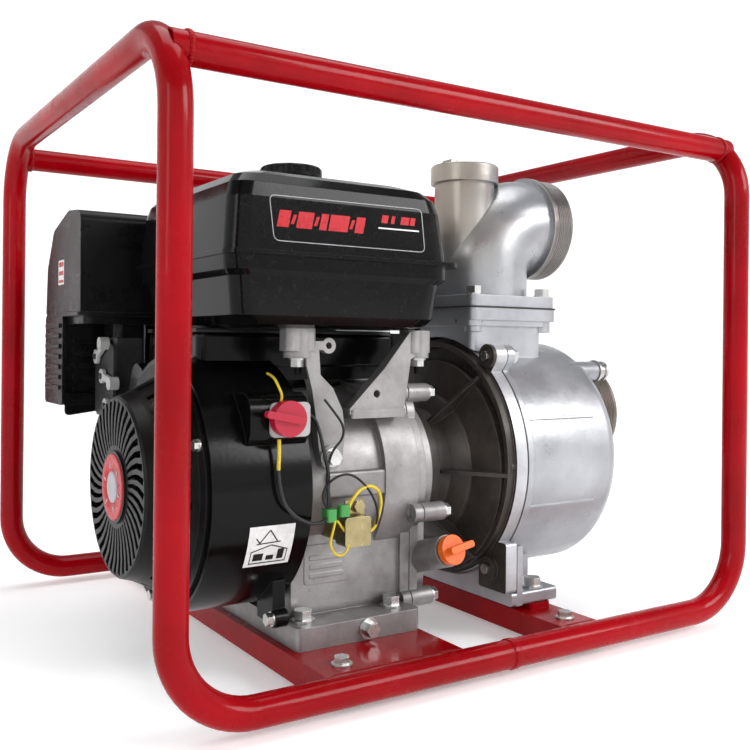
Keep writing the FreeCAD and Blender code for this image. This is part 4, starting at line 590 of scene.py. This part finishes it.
def add_sheet(mesh, outline, y, thickness):
    """Closed upright sheet on an outline of (x, z) points, all in millimetres."""
    add_plate(mesh, [at(p.x, y, p.y) for p in outline], Vector((0, -thickness * MM, 0)))
    add_plate(mesh, [at(p.x, y, p.y) for p in reversed(outline)], Vector((0, 0.1 * MM, 0)))


def tank_face(x, z):
    """Point on the tank's sloping front face, in millimetres."""
    foot_y, foot_z = -203, 366
    lean = 46                            # the face goes back 1 mm in this much height
    return at(x, foot_y + (z - foot_z) / lean, z)


def rounded_quad(corners, radius):
    """Outline of a flat four-sided panel with rounded corners, in its own two axes."""
    steps = 5
    outline = []
    for k in range(4):
        corner = Vector(corners[k])
        back = (Vector(corners[k - 1]) - corner).normalized() * radius
        on = (Vector(corners[(k + 1) % 4]) - corner).normalized() * radius
        for i in range(steps + 1):
            t = i / steps
            outline.append(corner + back * (1 - t) ** 2 + on * t ** 2)
    return outline


def ribbon(mesh, outer, inner, place, rise):
    """Flat closed band between two outlines of equal length; place turns (x, z) to a point."""
    rows = [[mesh.verts.new(place(*p) + rise * h) for p in line]
            for line, h in ((outer, 0), (outer, 1), (inner, 1), (inner, 0))]
    for first, second in zip(rows, rows[1:]):
        for k in range(len(first)):
            n = (k + 1) % len(first)
            mesh.faces.new((first[k], first[n], second[n], second[k]))


def make_tank_print():
    """Printed panel on the tank: a thin border, a red slanted motif and a white rule."""
    out = Vector((0, -0.12 * MM, 0))
    gap, slant, small_slant = 2, 3, 1.4
    corners = [(-211, 414), (-57, 415), (-53, 375.5), (-206.5, 376)]
    inset = [(-210.3, 413.3), (-57.7, 414.3), (-53.8, 376.2), (-205.9, 376.7)]
    mesh = bmesh.new()
    ribbon(mesh, rounded_quad(corners, 6), rounded_quad(inset, 5), tank_face, out)
    attach(new_object("tank_print_border", mesh, smooth=False), GREY_INK)
    mesh = bmesh.new()
    left = -204.0
    for width, drop in ((13, 0), (5, 3), (17, 0), (5, 3), (9, 0), (21, 0), (5, 3), (11, 0)):
        low, high = 388 + drop, 402 - drop
        right = left + width - gap
        add_plate(mesh, [tank_face(left, low), tank_face(right, low),
                         tank_face(right + slant, high), tank_face(left + slant, high)], out)
        left += width
    low, high = 399, 406
    for k, width in enumerate((9, 5, 12, 7)):
        left = -101 + 10.2 * k
        right = left + width * 0.75
        add_plate(mesh, [tank_face(left, low), tank_face(right, low),
                         tank_face(right + small_slant, high),
                         tank_face(left + small_slant, high)], out)
    attach(new_object("tank_print_motif", mesh, smooth=False), RED_INK)
    mesh = bmesh.new()
    add_plate(mesh, [tank_face(-104, 393.7), tank_face(-60, 393.9), tank_face(-60, 395.2),
                     tank_face(-104, 395.0)], out)
    attach(new_object("tank_print_rule", mesh, smooth=False), WHITE_INK)


def barrel(u, v, radius):
    """Point on the blower drum: u in millimetres along X, v in degrees below the horizon."""
    a = math.radians(v)
    return at(u, CRANK_Y - radius * math.cos(a), CRANK_Z - radius * math.sin(a))


def add_barrel_patch(mesh, us, vs, radius):
    """Grid on the drum through the given steps along and round it."""
    rows = [[mesh.verts.new(barrel(u, v, radius)) for v in vs] for u in us]
    for first, second in zip(rows, rows[1:]):
        for k in range(len(vs) - 1):
            mesh.faces.new((first[k], first[k + 1], second[k + 1], second[k]))


def span(low, high, steps):
    """Even steps from low to high, both included."""
    return [low + (high - low) * k / steps for k in range(steps + 1)]


def add_barrel_line(mesh, first, second):
    """Drawn line on the drum between two of its points."""
    width, mm_per_degree = 0.55, 2
    u0, v0 = first
    u1, v1 = second
    length = math.hypot(u1 - u0, mm_per_degree * (v1 - v0))
    du = mm_per_degree * (v1 - v0) / length * width
    dv = -(u1 - u0) / length * width / mm_per_degree
    rows = []
    for t in span(0, 1, 5):
        u, v = u0 + (u1 - u0) * t, v0 + (v1 - v0) * t
        rows.append([mesh.verts.new(barrel(u + du, v + dv, SKETCH_RADIUS)),
                     mesh.verts.new(barrel(u - du, v - dv, SKETCH_RADIUS))])
    for a, b in zip(rows, rows[1:]):
        mesh.faces.new((a[0], a[1], b[1], b[0]))


def make_blower_label():
    """Plain white sticker with a generic outline sketch, wrapped on the drum."""
    mesh = bmesh.new()
    add_barrel_patch(mesh, span(-223, -181, 6), span(12.2, 31.6, 14), LABEL_RADIUS)
    attach(new_object("blower_label", mesh), WHITE_INK)
    mesh = bmesh.new()
    for u0, u1, v0, v1 in ((-219, -185, 29.6, 30.2), (-219, -218.2, 24, 29.9),
                           (-185.8, -185, 24, 29.9), (-216, -207, 25.0, 28.6),
                           (-204, -197, 26.2, 28.6), (-194, -188, 23.5, 28.6)):
        add_barrel_patch(mesh, span(u0, u1, 3), span(v0, v1, 4), SKETCH_RADIUS)
    for first, second in (((-212, 19.6), (-204, 14.2)), ((-204, 14.2), (-196, 19.6)),
                          ((-215, 20.3), (-193, 19.8)), ((-219, 24.0), (-201, 21.2)),
                          ((-201, 21.2), (-185, 24.0)), ((-216, 17.5), (-212, 20.0))):
        add_barrel_line(mesh, first, second)
    attach(new_object("blower_label_sketch", mesh), DARK_INK)


def add_lathe(mesh, centre, profile):
    """Turned solid about an X axis: profile is (x offset, radius) in millimetres."""
    turns = 72
    loops = []
    for offset, radius in profile:
        loops.append([centre + Vector((offset * MM, radius * MM * math.cos(a),
                                       radius * MM * math.sin(a)))
                      for a in (2 * math.pi * k / turns for k in range(turns))])
    add_loops(mesh, loops)


def make_recoil_badge():
    """Round badge in the middle of the recoil cover: red ring, grey boss and a plain star."""
    centre = at(-301.6, CRANK_Y, CRANK_Z)
    star_points, star_turn = 6, 15
    star_inner, star_outer, star_half_width = 17 * MM, 25 * MM, 1.6 * MM
    mesh = bmesh.new()
    add_lathe(mesh, centre, [(1.0, 29), (-0.6, 29), (-1.2, 28.2), (-1.3, 27), (-1.2, 15),
                             (-0.4, 14.4), (-0.4, 2)])
    attach(new_object("recoil_badge", mesh), RED_INK)
    mesh = bmesh.new()
    add_lathe(mesh, centre, [(0.2, 13.8), (-1.1, 13.8), (-1.6, 12.8), (-1.7, 8), (-1.3, 6.5),
                             (-1.3, 0.8)])
    for k in range(star_points):
        a = math.radians(360 / star_points * k + star_turn)
        along = Vector((0, math.cos(a), math.sin(a)))
        side = Vector((0, -math.sin(a), math.cos(a)))
        foot = centre + Vector((-1.15 * MM, 0, 0))
        add_plate(mesh, [foot + along * star_inner - side * star_half_width,
                         foot + along * star_outer,
                         foot + along * star_inner + side * star_half_width],
                  Vector((-0.35 * MM, 0, 0)))
    attach(new_object("recoil_badge_boss", mesh), GREY_INK)


def make_air_cleaner_marks():
    """Small plain sticker with three red bars on the air cleaner."""
    out = Vector((-0.2 * MM, 0, 0))
    mesh = bmesh.new()
    add_plate(mesh, [at(-295, y, z)
                     for y, z in ((112, 378), (134, 378), (134, 352), (112, 352))], out)
    attach(new_object("air_cleaner_sticker", mesh, smooth=False), WHITE_INK)
    mesh = bmesh.new()
    for low, high in ((371, 376), (362, 366.5), (354, 357)):
        add_plate(mesh, [at(-295.2, y, z)
                         for y, z in ((114, high), (132, high), (132, low), (114, low))], out / 2)
    attach(new_object("air_cleaner_sticker_bars", mesh, smooth=False), RED_INK)


def make_casting_marks():
    """Raised plain panel and ribs on the front wall of the crankcase."""
    mesh = bmesh.new()
    outline = rounded_quad([(-150, 110), (-104, 110), (-104, 74), (-150, 74)], 4)
    add_plate(mesh, [at(p.x, -155.9, p.y) for p in outline], Vector((0, -0.9 * MM, 0)))
    for low in (80, 88, 96):
        bar = rounded_quad([(-145, low + 4.2), (-110, low + 4.2), (-110, low), (-145, low)], 1.6)
        add_plate(mesh, [at(p.x, -156.7, p.y) for p in bar], Vector((0, -0.7 * MM, 0)))
    attach(new_object("crankcase_panel", mesh, smooth=False), "cast_aluminium")


def make_hoses():
    """Fuel hose, and the high-tension lead with its boot."""
    rubber = ("rubber_black", "rubber_black")
    hose("fuel_hose", 3.6, *rubber,
         [(-212, 31, 308), (-212, 31, 298), (-212, 32, 282), (-212, 40, 266), (-212, 58, 262)])
    hose("ignition_lead", 3.4, *rubber,
         [(-158, 19, 290), (-150, 34, 300), (-128, 64, 305), (-98, 104, 305), (-72, 136, 298),
          (-66, 146, 282), (-66, 146, 262)])
    hose("plug_boot", 7.2, *rubber,
         [(-66, 112, 230), (-66, 130, 240), (-66, 143, 248), (-66, 146, 258), (-66, 146, 270)])


def make_starter_rope():
    """Braided rope from the pulley to the grip, in place of the hidden CAD rope."""
    inner, outer = at(-277, -134, 233.1), at(-277, -160.2, 247.1)
    along = (outer - inner).normalized()
    side = Vector((1, 0, 0))
    up = along.cross(side)
    mesh = bmesh.new()
    loops = []
    steps, sides = 60, 24
    strands, lay, relief = 6, 0.8, 0.07
    for i in range(steps + 1):
        centre = inner.lerp(outer, i / steps)
        ring = []
        for k in range(sides):
            a = 2 * math.pi * k / sides
            weave = math.sin(strands * a + lay * i) * math.sin(strands * a - lay * i)
            radius = 1.85 * MM * (1 + relief * weave)
            ring.append(centre + side * radius * math.cos(a) + up * radius * math.sin(a))
        loops.append(ring)
    add_loops(mesh, loops)
    rope = new_object("starter_rope_braid", mesh)
    rope.data.materials.append(MATERIALS["rubber_black"])
    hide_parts("starter_rope")
    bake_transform(rope)


def make_small_leads():
    """Thin wires round the connectors and the switch."""
    yellow = (THIN_WIRE_RADIUS, PLAIN_YELLOW, "lead_yellow")
    black = (THIN_WIRE_RADIUS, DARK_INK, "rubber_black")
    hose("lead_yellow_loop", *yellow,
         [(-143, -199, 139), (-147, -202, 131), (-151, -203, 120), (-145, -203, 110),
          (-136, -203, 109), (-130, -202, 119), (-134, -200, 130), (-141, -198, 139)])
    hose("lead_black_loop", *black,
         [(-147, -194, 148), (-154, -195, 156), (-153, -196, 167), (-142, -197, 177),
          (-126, -198, 179), (-108, -198, 164), (-98, -197, 146), (-97, -195, 132),
          (-104, -192, 124), (-110, -189, 124)])
    hose("lead_bracket_loop", *black,
         [(-147, -185, 243), (-138, -187, 232), (-129, -189, 219), (-131, -190, 208),
          (-141, -191, 200), (-147, -192, 187), (-148, -193, 168), (-147, -194, 148)])
    hose("lead_switch_top", *yellow,
         [(-200, -180, 266), (-202, -196, 264), (-201, -203, 256), (-198, -204, 249),
          (-198, -202, 243), (-198, -198, 240)])


def make_tank_rests():
    """Rubber strips between the hood and the underside of the tank."""
    low, middle, high = 301.1, 303, 304.7
    taper, steps = 0.6, 24
    mesh = bmesh.new()
    for y0, y1 in ((-113, -99), (2, 15)):
        loops = []
        for i, x in enumerate(span(-237, -30, steps)):
            sag = 0.25 * math.sin(math.pi * i / steps * 6)
            loops.append([at(x, y, z) for y, z in ((y0, low), (y1, low), (y1 + sag, middle),
                                                   (y1 - taper, high), (y0 + taper, high),
                                                   (y0 - sag, middle))])
        add_loops(mesh, loops)
    attach(new_object("tank_rests", mesh, smooth=False), DARK_INK)


def make_hood_trim():
    """Black sheet strip along the front of the hood that stands in for the shade in the gap above
    the crankcase, a flap along the front of the hood, and a guard behind the carburettor.
    """
    sheet, moulding = 1.6, 1.8
    mesh = bmesh.new()
    # painted shade: this black strip stands in for the shade in the gap beneath the hood, above
    # the crankcase
    shade_strip = rounded_quad([(-160, 270), (-28, 270), (-28, 257.5), (-160, 257.5)], 3)
    add_sheet(mesh, shade_strip, -115.4, sheet)
    flap = rounded_quad([(-44, 303), (-9, 303), (-9, 266), (-44, 262)], 4)
    add_sheet(mesh, flap, -101, sheet)
    attach(new_object("hood_flap_and_shade_strip", mesh, smooth=False), "housing_black")
    mesh = bmesh.new()
    guard = rounded_quad([(-290, 313), (-184, 313), (-184, 226), (-290, 212)], 6)
    add_sheet(mesh, guard, 124.5, moulding)
    slat_height, slat_pitch = 5, 13
    for k in range(5):
        z = 238 + slat_pitch * k
        slat = rounded_quad([(-282, z + slat_height), (-232, z + slat_height), (-232, z),
                             (-282, z)], 2.2)
        add_plate(mesh, [at(p.x, 122.8, p.y) for p in slat], Vector((0, -moulding * MM, 0)))
    attach(new_object("carburettor_guard", mesh, smooth=False), "plastic_black")


# --------------------------------------------------------------------- build
make_camera()
make_world()
MATERIALS = make_materials()
RED_INK = glaze("red_ink", (0.52, 0.008, 0.016), 0.3)
WHITE_INK = glaze("white_ink", (0.80, 0.80, 0.79), 0.4)
DARK_INK = glaze("dark_ink", (0.015, 0.015, 0.016), 0.4)
PLAIN_YELLOW = glaze("plain_yellow", (0.70, 0.52, 0.03), 0.35)
GREY_INK = glaze("grey_ink", (0.42, 0.42, 0.44), 0.35)
make_backdrop()
for lamp in LIGHTS:
    area_light(*lamp)
dress_nodes(MATERIALS)
make_welds()
make_tank_print()
make_blower_label()
make_recoil_badge()
make_air_cleaner_marks()
make_casting_marks()
make_hoses()
make_starter_rope()
make_small_leads()
make_tank_rests()
make_hood_trim()
